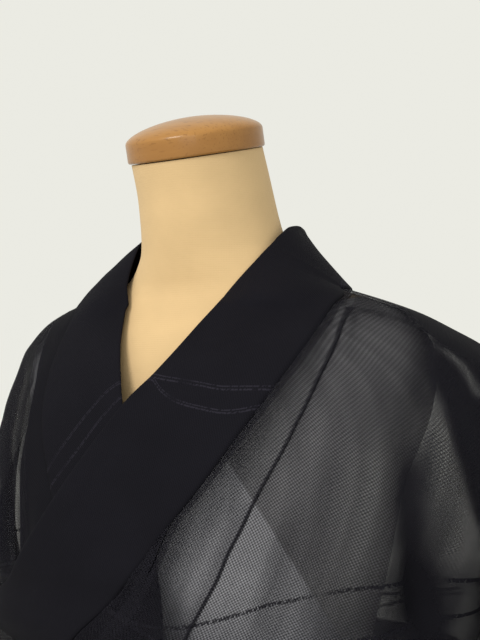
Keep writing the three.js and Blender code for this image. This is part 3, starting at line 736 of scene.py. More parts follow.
@dataclass
class Robe:
    """The draped surface that every piece of the garment is cut from."""

    folds: tuple[Fold, ...] = FOLDS
    # Painted shade in the drape's folds, by their depth.
    drape_shade: float = 0.014
    waist_lap: Ramp = (800.0, FOLD_LOW_Z - 800.0)
    lap_end: Ramp = (80.0, -24.0)
    tuck_depth: float = 2.6
    tuck_low: Ramp = (1044.0, 30.0)
    tuck_top: Ramp = (1322.0, -16.0)
    tuck_bends: tuple[float, float] = (14.0, 0.9)
    skirt_tuck: float = 1.4
    skirt_top: Ramp = (870.0, -40.0)
    uneven: float = 0.6
    uneven_size: tuple[float, float] = (14.0, 60.0)
    uneven_top: Ramp = (1330.0, -60.0)
    uneven_seed: int = 11

    def half(self, side: int, z: Array) -> Array:
        """Half width of the ring at a height, on one side."""
        return ROBE.look("left" if side > 0 else "right", z)

    def reach(self, side: int, degrees: Array, z: Array) -> Array:
        """Distance from the axis to the cloth's middle, one ply and uncreased."""
        signed = np.sin(np.radians(side * degrees))
        half = np.where(signed >= 0, ROBE.look("left", z), ROBE.look("right", z))
        front, back, power = (ROBE.look(name, z) for name in ("front", "back", "power"))
        return ring_reach(half, front, back, power, degrees)

    def drape(self, degrees: Array, z: Array) -> Array:
        """Depth of the largest folds, as in the construction: eased across and along."""
        total = np.zeros(np.broadcast(degrees, z).shape)
        for k in range(len(DRAPE["angle"])):
            across = np.maximum(0, 1 - np.abs(degrees - DRAPE["angle"][k]) / DRAPE["half"][k])
            along = ramp(z, (DRAPE["low"][k], 60)) * ramp(z, (DRAPE["high"][k], -90))
            total = total + DRAPE["depth"][k] * ease(across) * along
        return total

    def stand_out(self, side: int, degrees: Array, z: Array, ply: Array) -> Array:
        """How far the cloth stands out: by its ply at the waist, and the left front over the right."""
        single = ramp(z, (FOLD_HIGH_Z, BODICE_Z - FOLD_HIGH_Z))
        plies = ply * PLY * (1 - single) - self.drape(degrees, z)
        if side < 0:
            return plies
        lift = mix(OVER, OVER_WAIST, ramp(z, self.waist_lap) * (1 - single))
        return plies + np.where(degrees > SIDE_SEAM, 0.0, lift * ramp(degrees, self.lap_end))

    def tuck(self, side: int, degrees: Array, z: Array, reach: Array) -> Array:
        """Distance from the sharp tuck of that side's front, growing towards the side seam."""
        table = LEFT_TUCK if side > 0 else RIGHT_TUCK
        return square_distance(lambda at: table.look("angle", at), degrees, z, reach)

    def surface(self, side: int, degrees: Array, z: Array, ply: Array,
                lift: Array | float = 0.0) -> Array:
        """Points of the cloth at angles towards a side, with its folds and small unevenness."""
        reach = self.reach(side, degrees, z)
        out = self.stand_out(side, degrees, z, ply) + lift
        on_skirt = z < self.skirt_top[0]
        shown = ease((ply - 1.5) * 4 + 4 * on_skirt)
        for fold in self.folds:
            if fold.side == side:
                out = out - fold.depth * fold.bell(degrees, z, reach) * shown
        away = self.tuck(side, degrees, z, reach)
        inner, outer = self.tuck_bends
        edge = np.where(away < 0, np.exp(away / inner), np.exp(-away / outer)) * ramp(z, self.tuck_top)
        depth = self.tuck_depth * ramp(z, self.tuck_low) + self.skirt_tuck * ramp(z, self.skirt_top)
        out = out + depth * edge * shown * (degrees < SIDE_SEAM)
        wide, high = self.uneven_size
        waves = ripple(side * degrees / wide, z / high, self.uneven_seed)
        out = out + self.uneven * waves * ramp(z, self.uneven_top) * shown
        return around(side * degrees, z, reach + out)

    def density(self, side: int, degrees: Array, z: Array) -> Array:
        """How much more of the light the cloth stops: where it is folded or doubled, and painted shade
        and painted light laid in as cover.
        """
        reach = self.reach(side, degrees, z)
        total = self.drape_shade * self.drape(degrees, z)
        for fold in self.folds:
            if fold.side == side:
                total = total + fold.cover_and_shade * fold.bell(degrees, z, reach)
        away = self.tuck(side, degrees, z, reach) + BEYOND_SEAM * (degrees > SIDE_SEAM)
        if side > 0:
            return total + self.left_cover_and_shade(degrees, z, reach, away)
        total = total + RIGHT_TUCK_SHADE.at(degrees, z) * ramp(away, RIGHT_TUCK_BLUR)
        total = total + RIGHT_RIBS.at(degrees, z) * (0.7 + 0.3 * np.sin(z * RIB_TURN))
        return total + all_shades(RIGHT_SHADES, degrees, z)

    @staticmethod
    def left_cover_and_shade(degrees: Array, z: Array, reach: Array, away: Array) -> Array:
        """The left front's cover: painted shadows and light by its tuck, painted shade at its side and
        past the form, cover at its seams.
        """
        total = all_shades(LEFT_SHADES, degrees, z)
        inner = np.exp(np.minimum(away, 0) / TUCK_INNER_REACH) * (away < 0)
        outer = np.exp(-np.maximum(away, 0) / TUCK_OUTER_REACH) * (away >= 0)
        total = total + TUCK_INNER.at(degrees, z) * inner + TUCK_OUTER.at(degrees, z) * outer
        total = total + TUCK_RIDGE_LIGHT.at(degrees, z) * hump(away, *TUCK_RIDGE_LIGHT_PLACE)
        beyond = (degrees - LEFT_SHADE.look("angle", z)) * np.radians(reach)
        side_dark = ramp(beyond, SIDE_BLUR) * ramp(degrees, SIDE_END)
        total = total + SIDE_SHADE.at(degrees, z) * side_dark
        past = ramp(degrees - FORM_SHADE.look("angle", z), FORM_BLUR) * ramp(degrees, FORM_END)
        share = all_shades(PAST_FORM, degrees, z) * ramp(z, BODICE)
        total = total + past * share * (1 - side_dark)
        total = total + MESH_PATCH.at(degrees, z) * hump(degrees, *MESH_PLACE)
        lap = LAP_ANGLE + (LAP_Z - z) * LAP_SLOPE
        total = total + COLLAR_LAP.at(degrees, z) * ramp(degrees - lap, LAP_BLUR)
        shoulder = path_distance(SHOULDER_LINE, degrees, z, reach)
        total = total + SHOULDER_SEAM.at(degrees, z) * hump(shoulder, 0, SHOULDER_WIDTH)
        return total + SHOULDER_BACK.at(degrees, z) * ramp(shoulder, SHOULDER_BLUR)


# Each water line: its name, its wave's height in millimetres, and its start and half length.
WATER_WAVES = (("first_water", 20, 45, 62), ("second_water", 18, 64, 60))
RIGHT_WATER_TURN = 37


def water_levels(side: int, degrees: Array, z: Array) -> dict[str, Array]:
    """Two fields whose level curves are the woven water lines, each a wave round the body."""
    turned = degrees if side > 0 else degrees + RIGHT_WATER_TURN
    return {name: z - high * np.sin(math.pi * (turned - start) / half)
            for name, high, start, half in WATER_WAVES}


def summed(steps: Array, axis: int) -> Array:
    """Running sums along an axis, from zero, so with one entry more than the steps."""
    first = np.zeros_like(np.take(steps, [0], axis=axis))
    return np.concatenate([first, np.cumsum(steps, axis=axis)], axis=axis)


class ClothMap:
    """Lengths on the cloth, round from the side seam and up from the hem, at any place."""

    STEP = 2.0

    def __init__(self, robe: Robe, side: int) -> None:
        """Args: robe: the draped surface. side: of the wearer."""
        self.angles = np.arange(-90.0, 181.0, self.STEP)
        self.heights = np.arange(HEM_Z - 1, NECK_Z + 3, self.STEP)
        degrees, z = self.angles[None, :], self.heights[:, None]
        points = around(degrees, z, robe.reach(side, degrees, z))
        round_sum = summed(np.linalg.norm(np.diff(points, axis=1), axis=-1), 1)
        self.round = round_sum - round_sum[:, [int(np.searchsorted(self.angles, SIDE_SEAM))]]
        self.up = summed(np.linalg.norm(np.diff(points, axis=0), axis=-1), 0)

    def look(self, degrees: Array, z: Array) -> tuple[Array, Array]:
        """Returns: the length round and the length up, in millimetres, between the grid's points."""
        degrees, z = np.broadcast_arrays(degrees, z)
        a = np.clip((degrees - self.angles[0]) / self.STEP, 0, len(self.angles) - 1.001)
        h = np.clip((z - self.heights[0]) / self.STEP, 0, len(self.heights) - 1.001)
        i, j = h.astype(int), a.astype(int)
        s, t = h - i, a - j
        found = []
        for grid in (self.round, self.up):
            low = mix(grid[i, j], grid[i, j + 1], t)
            high = mix(grid[i + 1, j], grid[i + 1, j + 1], t)
            found.append(mix(low, high, s))
        return found[0], found[1]


@dataclass(frozen=True)
class ClothLine:
    """The rows that the cloth passes from the hem to the neckline, by height and ply."""

    skirt_step: float = 9.0
    bodice_step: float = 3.0

    def rows(self) -> tuple[Array, Array]:
        """Heights and plies: the skirt, a turn, the fold's inner ply, a turn, and up to the neck.

        Returns: two arrays of the same length.
        """
        high, low = FOLD_HIGH_Z - FOLD_TURN, FOLD_LOW_Z + FOLD_TURN
        turn = np.linspace(0, math.pi, 7)[1:-1]
        spread = lambda a, b, step: np.linspace(a, b, max(2, round(abs(b - a) / step) + 1))
        skirt = spread(HEM_Z, high, self.skirt_step)
        inner = spread(high, low, self.skirt_step)
        outer = spread(low, high, 5.0)
        bodice = spread(high, NECK_Z, self.bodice_step)[1:]
        z = np.concatenate([skirt, high + FOLD_TURN * np.sin(turn), inner,
                            low - FOLD_TURN * np.sin(turn), outer, bodice])
        ply = np.concatenate([skirt * 0, 0.5 - 0.5 * np.cos(turn), inner * 0 + 1,
                              1.5 - 0.5 * np.cos(turn), outer * 0 + 2, bodice * 0 + 2])
        return z, ply


def along_rows(z: Array, ply: Array) -> Array:
    """Length of the cloth from the hem to each row, in millimetres."""
    return summed(np.hypot(np.diff(z), PLY * np.diff(ply)), 0)


# ------------------------------------------------------------------ finishes


class Nodes:
    """A material's node tree, with short ways to add and join nodes."""

    def __init__(self, name: str) -> None:
        """Args: name: of the new material."""
        self.material = bpy.data.materials.new(name)
        self.material.use_nodes = True
        self.tree = self.material.node_tree
        self.tree.nodes.clear()
        self.output = self.tree.nodes.new("ShaderNodeOutputMaterial")
        self.shader = self.tree.nodes.new("ShaderNodeBsdfPrincipled")
        self.tree.links.new(self.shader.outputs[0], self.output.inputs["Surface"])

    def add(self, kind: str, **settings: object) -> bpy.types.Node:
        """Adds a node and sets its properties."""
        node = self.tree.nodes.new(kind)
        for key, value in settings.items():
            setattr(node, key, value)
        return node

    def put(self, node: bpy.types.Node, values: dict[str | int, object]) -> bpy.types.Node:
        """Sets or links a node's inputs, by name or number. Returns the node."""
        for key, value in values.items():
            socket = node.inputs[key]
            if isinstance(value, Socket):
                self.tree.links.new(value, socket)
            else:
                socket.default_value = value
        return node

    def math(self, operation: str, *values: object, clamp: bool = False) -> Socket:
        """A Math node of that operation. Returns its output."""
        node = self.add("ShaderNodeMath", operation=operation, use_clamp=clamp)
        return self.put(node, dict(enumerate(values))).outputs[0]

    def step(self, value: Socket, low: float, high: float) -> Socket:
        """Smooth step of a value between low and high. Returns 0 to 1."""
        node = self.add("ShaderNodeMapRange", interpolation_type="SMOOTHSTEP")
        return self.put(node, {"Value": value, "From Min": low, "From Max": high}).outputs[0]

    def noise(self, vector: Socket, scale: float, detail: float = 2.0) -> Socket:
        """A noise texture's factor."""
        node = self.add("ShaderNodeTexNoise")
        return self.put(node, {"Vector": vector, "Scale": scale, "Detail": detail}).outputs[0]

    def scaled(self, vector: Socket, x: float, y: float, z: float) -> Socket:
        """A vector stretched along each axis."""
        node = self.add("ShaderNodeVectorMath", operation="MULTIPLY")
        return self.put(node, {0: vector, 1: (x, y, z)}).outputs[0]

    def blend(self, factor: object, a: object, b: object) -> Socket:
        """A colour mix. Returns the mixed colour."""
        node = self.add("ShaderNodeMix", data_type="RGBA")
        return self.put(node, {0: factor, 6: a, 7: b}).outputs[2]

    def bump(self, height: Socket, strength: float, distance: float) -> None:
        """Gives the shader a bumped normal from a height."""
        node = self.add("ShaderNodeBump")
        self.put(node, {"Height": height, "Strength": strength, "Distance": distance})
        self.put(self.shader, {"Normal": node.outputs[0]})

    def axes(self, vector: Socket) -> list[Socket]:
        """The three numbers of a vector."""
        node = self.add("ShaderNodeSeparateXYZ")
        return list(self.put(node, {0: vector}).outputs)

    def flipped(self, value: Socket) -> Socket:
        """One minus a value."""
        return self.math("SUBTRACT", 1.0, value)

    def varied(self, value: Socket, amount: float, base: object) -> Socket:
        """A base with a value that goes from 0 to 1 added, about its middle."""
        return self.math("MULTIPLY_ADD", self.math("SUBTRACT", value, 0.5), amount, base)

    @property
    def object_place(self) -> Socket:
        """The Object coordinates."""
        return self.add("ShaderNodeTexCoord").outputs["Object"]

    @property
    def uv(self) -> Socket:
        """The piece's own UV map, in metres of cloth."""
        return self.add("ShaderNodeUVMap", uv_map="UVMap").outputs[0]

    def value(self, name: str) -> Socket:
        """A point value of the mesh."""
        return self.add("ShaderNodeAttribute", attribute_name=name).outputs["Fac"]


def woven_check(n: Nodes, pitch: float) -> Socket:
    """The weave: a product of two sines along the cloth's own threads, from -1 to 1."""
    turn = 2 * math.pi / pitch
    waves = (n.math("SINE", n.math("MULTIPLY", axis, turn)) for axis in n.axes(n.uv)[:2])
    return n.math("MULTIPLY", *waves)


# How the woven lines break up: thread by thread, and in longer gaps, by noise scale and step.
THREAD_SCALE, THREAD_BREAK = (620, 380, 1), (0.34, 0.5)
STROKE_SCALE, STROKE_BREAK = 22.0, (0.28, 0.44)


def woven_water(n: Nodes, first: tuple[float, ...], second: tuple[float, ...],
                thick: float = 1.0) -> Socket:
    """Woven flowing-water lines along level curves, broken up thread by thread. From 0 to 1."""
    total: Socket | None = None
    for name, heights in (("first_water", first), ("second_water", second)):
        level = n.value(name)
        for k, height in enumerate(heights):
            gap = n.math("ABSOLUTE", n.math("SUBTRACT", level, height))
            half = thick * (1.15 - 0.3 * (k % 3))
            stroke = n.flipped(n.step(gap, half * 0.7, half * 1.7))
            total = stroke if total is None else n.math("MAXIMUM", total, stroke)
    ragged = n.step(n.noise(n.scaled(n.uv, *THREAD_SCALE), 1.0, 0.0), *THREAD_BREAK)
    broad = n.step(n.noise(n.uv, STROKE_SCALE, 1.0), *STROKE_BREAK)
    return n.math("MULTIPLY", n.math("MULTIPLY", total, ragged), broad)


def tinted(colour: Colour, by: float) -> Colour:
    """A colour made darker or lighter."""
    return (colour[0] * by, colour[1] * by, colour[2] * by, 1.0)


@dataclass(frozen=True)
class GauzeFinish:
    """Sheer black gauze: open leno weave, denser at seam allowances and woven water lines."""

    name: str = "sheer_gauze"
    thread: Colour = (0.0084, 0.0081, 0.0112, 1)
    cover: float = 0.40
    pitch: float = 0.0028
    check: float = 0.512
    cloud: float = 0.10
    streak: float = 0.19
    allowance: float = 0.24
    allowance_width: tuple[float, float] = (8.0, 9.0)
    tuck: float = 0.42
    tuck_width: tuple[float, float] = (0.5, 1.9)
    line: float = 0.42
    first_water: tuple[float, ...] = (1104.0, 745.0, 650.0, 385.0, 200.0, 120.0)
    second_water: tuple[float, ...] = (1084.0, 720.0, 668.0, 350.0, 215.0, 150.0)
    # Where the cover and painted shade run high, the thread is darkened: painted shade.
    painted_shade: tuple[float, float] = (0.32, 0.66)
    painted_shade_tint: float = 0.74

    def build(self) -> Material:
        """Alpha is the share of thread: a woven check about its mean, with each point's cover and
        painted shade added, up to solid at allowances.
        """
        n = Nodes(self.name)
        check = woven_check(n, self.pitch)
        cloud = n.noise(n.uv, 9.0, 3.0)
        streak = n.noise(n.scaled(n.uv, 90, 3, 1), 1.0, 2.0)
        base = n.varied(streak, self.streak, n.varied(cloud, self.cloud, self.cover))
        base = n.math("ADD", base, n.value("cover_and_shade"))
        open_share = n.math("SUBTRACT", 1.0, base, clamp=True)
        swing = n.math("MULTIPLY", n.math("MULTIPLY", open_share, self.check), n.value("contrast"))
        woven = n.math("MULTIPLY_ADD", check, swing, base)
        allowance = n.flipped(n.step(n.value("seam"), *self.allowance_width))
        fine = n.flipped(n.step(n.math("ABSOLUTE", n.value("tuck")), *self.tuck_width))
        line = woven_water(n, self.first_water, self.second_water)
        extra = n.math("MULTIPLY_ADD", allowance, self.allowance, n.math("MULTIPLY", fine, self.tuck))
        extra = n.math("MULTIPLY_ADD", line, self.line, extra)
        alpha = n.math("ADD", woven, extra, clamp=True)
        colour = n.blend(n.math("MULTIPLY_ADD", check, 0.5, 0.5), tinted(self.thread, 0.75),
                         tinted(self.thread, 1.3))
        # Painted shade: darker thread where the cover and shade value is high.
        painted_shade = n.step(n.value("cover_and_shade"), *self.painted_shade)
        colour = n.blend(painted_shade, colour, tinted(self.thread, self.painted_shade_tint))
        n.put(n.shader, {"Base Color": colour, "Alpha": alpha, "Roughness": 0.75,
                         "Specular IOR Level": 0.04})
        n.bump(check, 0.3, 0.0004)
        return n.material


@dataclass(frozen=True)
class CollarFinish:
    """The collar's doubled gauze: opaque, with a fine woven check and pale woven lines."""

    name: str = "doubled_gauze"
    colour: Colour = (0.0063, 0.0060, 0.0087, 1)
    pale_thread: Colour = (0.055, 0.05, 0.072, 1)
    pitch: float = 0.0021
    line: float = 0.24
    line_width: float = 0.45

    def build(self) -> Material:
        """Colour from a woven check and soft clouds; pale lines where water is woven in."""
        n = Nodes(self.name)
        check = woven_check(n, self.pitch)
        cloud = n.noise(n.uv, 14.0, 3.0)
        pale = n.math("MULTIPLY_ADD", check, 0.20, n.math("MULTIPLY", cloud, 0.5))
        colour = n.blend(pale, tinted(self.colour, 0.75), tinted(self.colour, 1.9))
        line = woven_water(n, (-1.2, 1.2), (-1.0, 1.0), self.line_width)
        colour = n.blend(n.math("MULTIPLY", line, self.line), colour, self.pale_thread)
        n.put(n.shader, {"Base Color": colour, "Roughness": 0.75, "Specular IOR Level": 0.04})
        n.bump(check, 0.4, 0.0004)
        return n.material


@dataclass(frozen=True)
class CoverFinish:
    """The form's knitted cover: beige on the neck, unbleached cotton over the padding below.

    The neck's lower end is a slope and a height, and the crossing is a plane, all in metres. The
    flank pales where the cover turns to the left, by the share of its normal along X: painted light.
    """

    name: str = "knitted_cover"
    beige: Colour = (0.585, 0.413, 0.216, 1)
    cotton: Colour = (0.90, 0.90, 0.97, 1)
    lining: Colour = (0.475, 0.47, 0.495, 1)
    # Painted light: the colour that the grey pales to on the flank, as if lit from that side.
    flank_painted_light: Colour = (0.98, 0.97, 1.0, 1)
    neck: tuple[float, float] = (0.9, 1.205)
    crossing: tuple[float, float, float] = (0.6858, 0.4886, 0.5393)
    crossing_level: float = 0.6519
    edge: tuple[float, float] = (-0.001, 0.001)
    painted_light_turn: tuple[float, float] = (0.66, 0.94)
    painted_light_top: tuple[float, float] = (1.19, 1.25)
    painted_light_least: float = 0.25

    def build(self) -> Material:
        """Three runs of cover: the neck, the padded left breast, and a pale wrap crossed over it."""
        n = Nodes(self.name)
        place = n.object_place
        x, y, z = n.axes(place)
        neck = n.math("MULTIPLY_ADD", n.math("ABSOLUTE", x), *self.neck)
        low = n.flipped(n.step(n.math("SUBTRACT", z, neck), *self.edge))
        level = n.math("MULTIPLY", z, self.crossing[2])
        for axis, slope in ((y, self.crossing[1]), (x, self.crossing[0])):
            level = n.math("MULTIPLY_ADD", axis, slope, level)
        crossed = n.step(n.math("SUBTRACT", self.crossing_level, level), *self.edge)
        # Painted light on the flank: the grey pales where the normal turns to +X, less above the chest.
        facing = n.axes(n.add("ShaderNodeNewGeometry").outputs["Normal"])
        turned = n.step(facing[0], *self.painted_light_turn)
        lower = n.math("MULTIPLY_ADD", n.flipped(n.step(z, *self.painted_light_top)), 1 - self.painted_light_least,
                       self.painted_light_least)
        flank_painted_light = n.blend(n.math("MULTIPLY", turned, lower), self.lining, self.flank_painted_light)
        tinted_low = n.blend(crossed, flank_painted_light, self.cotton)
        tinted_all = n.blend(low, self.beige, tinted_low)
        soft = n.math("MULTIPLY_ADD", n.noise(place, 35.0, 3.0), 0.14, 0.93)
        shade = n.add("ShaderNodeMix", data_type="RGBA", blend_type="MULTIPLY")
        n.put(shade, {0: 1.0, 6: tinted_all, 7: soft})
        n.put(n.shader, {"Base Color": shade.outputs[2], "Roughness": 0.9, "Sheen Weight": 0.08,
                         "Sheen Roughness": 0.5, "Specular IOR Level": 0.15})
        rib = n.math("SINE", n.math("MULTIPLY", n.math("ADD", x, n.math("MULTIPLY", y, 0.6)), 4200.0))
        course = n.math("SINE", n.math("MULTIPLY", z, 3600.0))
        n.bump(n.math("ADD", rib, course), 0.15, 0.0002)
        return n.material


@dataclass(frozen=True)
class WoodFinish:
    """Varnished beech: fine straight grain, short dark flecks, clear gloss; painted shade on a side
    wall.
    """

    name: str
    pale: Colour = (0.44, 0.222, 0.060, 1)
    dark: Colour = (0.24, 0.105, 0.026, 1)
    roughness: float = 0.34
    # The UV height span of the side wall that takes painted shade; none when its run is zero.
    wall: tuple[float, float] = (0.0, 0.0)

    def build(self) -> Material:
        """Grain is stretched noise along X; flecks are shorter, thresholded noise; the side wall gets
        painted shade.
        """
        n = Nodes(self.name)
        place = n.object_place
        grain = n.noise(n.scaled(place, 9, 120, 160), 1.0, 5.0)
        broad = n.noise(n.scaled(place, 3, 18, 30), 1.0, 2.0)
        fleck = n.step(n.noise(n.scaled(place, 90, 900, 700), 1.0, 0.0), 0.66, 0.74)
        tone = n.math("ADD", n.math("MULTIPLY", grain, 0.7), n.math("MULTIPLY", broad, 0.5), clamp=True)
        colour = n.blend(tone, self.dark, self.pale)
        colour = n.blend(n.math("MULTIPLY", fleck, 0.45), colour, tinted(self.dark, 0.6))
        # Painted shade on the side wall.
        if self.wall[1] > 0:
            wall_painted_shade = n.flipped(n.step(n.axes(n.uv)[1], *self.wall))
            colour = n.blend(n.math("MULTIPLY", wall_painted_shade, 0.55), colour, self.dark)
        n.put(n.shader, {"Base Color": colour, "Roughness": self.roughness, "Coat Weight": 0.22,
                         "Coat Roughness": 0.12, "Specular IOR Level": 0.2})
        n.bump(grain, 0.08, 0.0005)
        return n.material


@dataclass(frozen=True)
class MetalFinish:
    """Satin steel of the pole and its flange, drawn along its length."""

    name: str = "satin_steel"
    colour: Colour = (0.55, 0.55, 0.56, 1)

    def build(self) -> Material:
        """Roughness and bump from noise stretched along Z."""
        n = Nodes(self.name)
        brushed = n.noise(n.scaled(n.object_place, 900, 900, 12), 1.0, 3.0)
        n.put(n.shader, {"Base Color": self.colour, "Metallic": 1.0,
                         "Roughness": n.math("MULTIPLY_ADD", brushed, 0.2, 0.25)})
        n.bump(brushed, 0.1, 0.0002)
        return n.material


@dataclass(frozen=True)
class TieFinish:
    """A plain, close black weave for the waist tie, with fine cross ribs."""

    name: str = "plain_tie"
    pitch: float = 0.0022
    dark: Colour = (0.010, 0.010, 0.012, 1)
    pale: Colour = (0.030, 0.029, 0.035, 1)

    def build(self) -> Material:
        """Ribs run along the tie, from the UV map's across direction."""
        n = Nodes(self.name)
        rib = n.math("SINE", n.math("MULTIPLY", n.axes(n.uv)[1], 2 * math.pi / self.pitch))
        soft = n.noise(n.uv, 30.0, 3.0)
        colour = n.blend(n.math("MULTIPLY_ADD", rib, 0.2, n.math("MULTIPLY", soft, 0.6)),
                         self.dark, self.pale)
        n.put(n.shader, {"Base Color": colour, "Roughness": 0.75, "Sheen Weight": 0.1})
        n.bump(rib, 0.5, 0.0006)
        return n.material


# ------------------------------------------------------------------ garment pieces


class Side(Enum):
    """The wearer's two sides."""

    LEFT = 1
    RIGHT = -1

    @property
    def word(self) -> str:
        """The side's name in lower case."""
        return self.name.lower()

    @property
    def front(self) -> Table:
        """The seams of that side's front."""
        return LEFT_FRONT if self is Side.LEFT else RIGHT_FRONT


@dataclass
class GarmentPiece:
    """What every piece of the garment shares: the draped surface and the rows that its cloth passes."""

    robe: Robe
    line: ClothLine


@dataclass
class BodyPanel(GarmentPiece):
    """One length of cloth: front, over the shoulder and back, open at the armhole."""

    side: Side
    inner_columns: int = 34
    outer_columns: int = 46
    back_columns: int = 58
    under_gore: float = GORE_TIP_Z - 40
    under_depth: float = 2.0
    tucked: tuple[float, float, float] = (868.0, 1060.0, 1320.0)
    hem_ends: float = 300.0
    contrast: tuple[float, float, float] = (0.35, 0.55, 1.0)
    contrast_fade: Ramp = (1210.0, 80.0)

    def front_angles(self, z: Array, opening: Array) -> Array:
        """Angles of the front's columns: from the gore's seam to the tuck, then to the side."""
        seam = self.side.front.look("gore", z)
        tuck_in = np.degrees(TUCK_UNDER / self.robe.reach(self.side.value, seam, z))
        tuck_in = tuck_in * (z > self.under_gore)
        table = LEFT_TUCK if self.side is Side.LEFT else RIGHT_TUCK
        tuck = np.clip(table.look("angle", z), seam + 0.5, SIDE_SEAM - 1 - opening)
        inner = 1 - (1 - np.linspace(0, 1, self.inner_columns + 1)) ** 1.7
        outer = np.linspace(0, 1, self.outer_columns + 1)[1:]
        outer = mix(outer ** 1.6, outer, outer)
        to_side = mix(tuck, SIDE_SEAM - opening, outer)
        return np.concatenate([mix(seam - tuck_in, tuck, inner), to_side], axis=1)

    def build(self, gauze: Material) -> Piece:
        """Makes the panel. Front and back share their side seam but for the armhole's slit."""
        side = self.side.value
        z, ply = (column[:, None] for column in self.line.rows())
        share = (z - ARMHOLE_LOW_Z) / (ARMHOLE_TOP_Z - ARMHOLE_LOW_Z)
        in_slit = (ply == 2) & (share > 0) & (share < 1)
        sine = np.clip(ARMHOLE_HALF * lens(share) / self.robe.half(side, z), 0, 1)
        opening = np.where(in_slit, np.degrees(np.arcsin(sine)), 0)
        front = self.front_angles(z, opening)
        back = mix(SIDE_SEAM + opening, 180 - SEAM_GAP, np.linspace(0, 1, self.back_columns + 1) ** 1.4)
        seam = self.side.front.look("gore", z)
        under = (front - seam) * np.radians(self.robe.reach(side, front, z))
        dip = self.under_depth * ramp(under, (TUCK_UNDER, -2 * TUCK_UNDER)) * (z > self.under_gore)
        angles = np.concatenate([front, back], axis=1)
        points = np.concatenate([self.robe.surface(side, front, z, ply, -dip),
                                 self.robe.surface(side, back, z, ply)], axis=1)
        columns = front.shape[1]
        index = grid_numbers(*angles.shape)
        front_index, back_index = index[:, :columns], index[:, columns:].copy()
        welded = ~in_slit[:, 0]
        back_index[welded, 0] = front_index[welded, -1]
        quads = np.concatenate([grid_quads(front_index, side < 0), grid_quads(back_index, side < 0)])
        lengths = ClothMap(self.robe, side)
        wide, length = lengths.look(angles, z)
        middle = lengths.look(np.full_like(z, 180.0), z)[0]
        gore = lengths.look(seam, z)[0]
        edge = np.minimum(np.minimum(np.abs(wide) + 3, np.abs(middle - wide)), np.abs(wide - gore) + 2)
        edge = np.where(z + 0 * wide < self.hem_ends, np.minimum(edge, length - 5), edge)
        away = self.robe.tuck(side, angles, z, self.robe.reach(side, angles, z))
        least, high, most = self.contrast
        clear = mix(most, high, ramp(z, self.contrast_fade)) * (side > 0) * (angles < SIDE_SEAM)
        low, top, shoulder = self.tucked
        plain = [angles > SIDE_SEAM, z > shoulder, (z < top) & (z > low)]
        values = {"seam": edge, "cover_and_shade": self.robe.density(side, angles, z),
                  "contrast": np.maximum(clear, least),
                  "tuck": away + sum(NO_LINE * part for part in plain),
                  **water_levels(side, angles, z + 0 * angles)}
        used = np.unique(quads)
        renumber = np.full(points.shape[0] * points.shape[1], -1)
        renumber[used] = np.arange(len(used))
        uv = flat_pairs(wide, length)[used] * METRES
        flat = {key: np.broadcast_to(value, angles.shape).ravel()[used] for key, value in values.items()}
        sheet = Surface(points.reshape(-1, 3)[used], renumber[quads], uv, flat)
        made = make_shell(f"panel_cloth_{self.side.word}", sheet, CLOTH)
        return dress(made, gauze, f"body_panel_{self.side.word}")


@dataclass
class FrontGore(GarmentPiece):
    """The narrow gore between a front panel and the collar, pointed at the top."""

    side: Side
    columns: int = 36
    under_collar: float = 1.0
    dip: float = 1.6
    dip_low: float = 740.0

    def build(self, gauze: Material) -> Piece:
        """Makes the gore. Its columns run from the collar's seam to the panel's seam."""
        side = self.side.value
        z, ply = (column[:, None] for column in self.line.rows())
        keep = z[:, 0] < GORE_TIP_Z
        z, ply = z[keep], ply[keep]
        table = self.side.front
        u = np.linspace(0, 1, self.columns + 1)
        angles = mix(table.look("collar", z) - self.under_collar, table.look("gore", z) - SEAM_GAP, u)
        under = -self.dip * ease(1 - u * 8) * (z > self.dip_low)
        points = self.robe.surface(side, angles, z, ply, under)
        index = grid_numbers(*angles.shape)
        length = along_rows(z[:, 0], ply[:, 0])[:, None]
        span = np.linalg.norm(points[:, -1] - points[:, 0], axis=-1)[:, None]
        wide = u * span + 0 * z
        edge = np.minimum(np.minimum(span - wide, wide + 4), length + 0 * wide - 6)
        uv = flat_pairs(*ClothMap(self.robe, side).look(angles, z)) * METRES
        values = {"seam": edge, "cover_and_shade": self.robe.density(side, angles, z), "tuck": 0 * wide + NO_LINE,
                  "contrast": 0 * wide + (1.0 if side > 0 else 0.35),
                  **water_levels(side, angles, z + 0 * wide)}
        flat = {key: value.ravel() for key, value in values.items()}
        sheet = Surface(points.reshape(-1, 3), grid_quads(index, side < 0), uv, flat)
        made = make_shell(f"gore_cloth_{self.side.word}", sheet, CLOTH)
        return dress(made, gauze, f"front_gore_{self.side.word}")


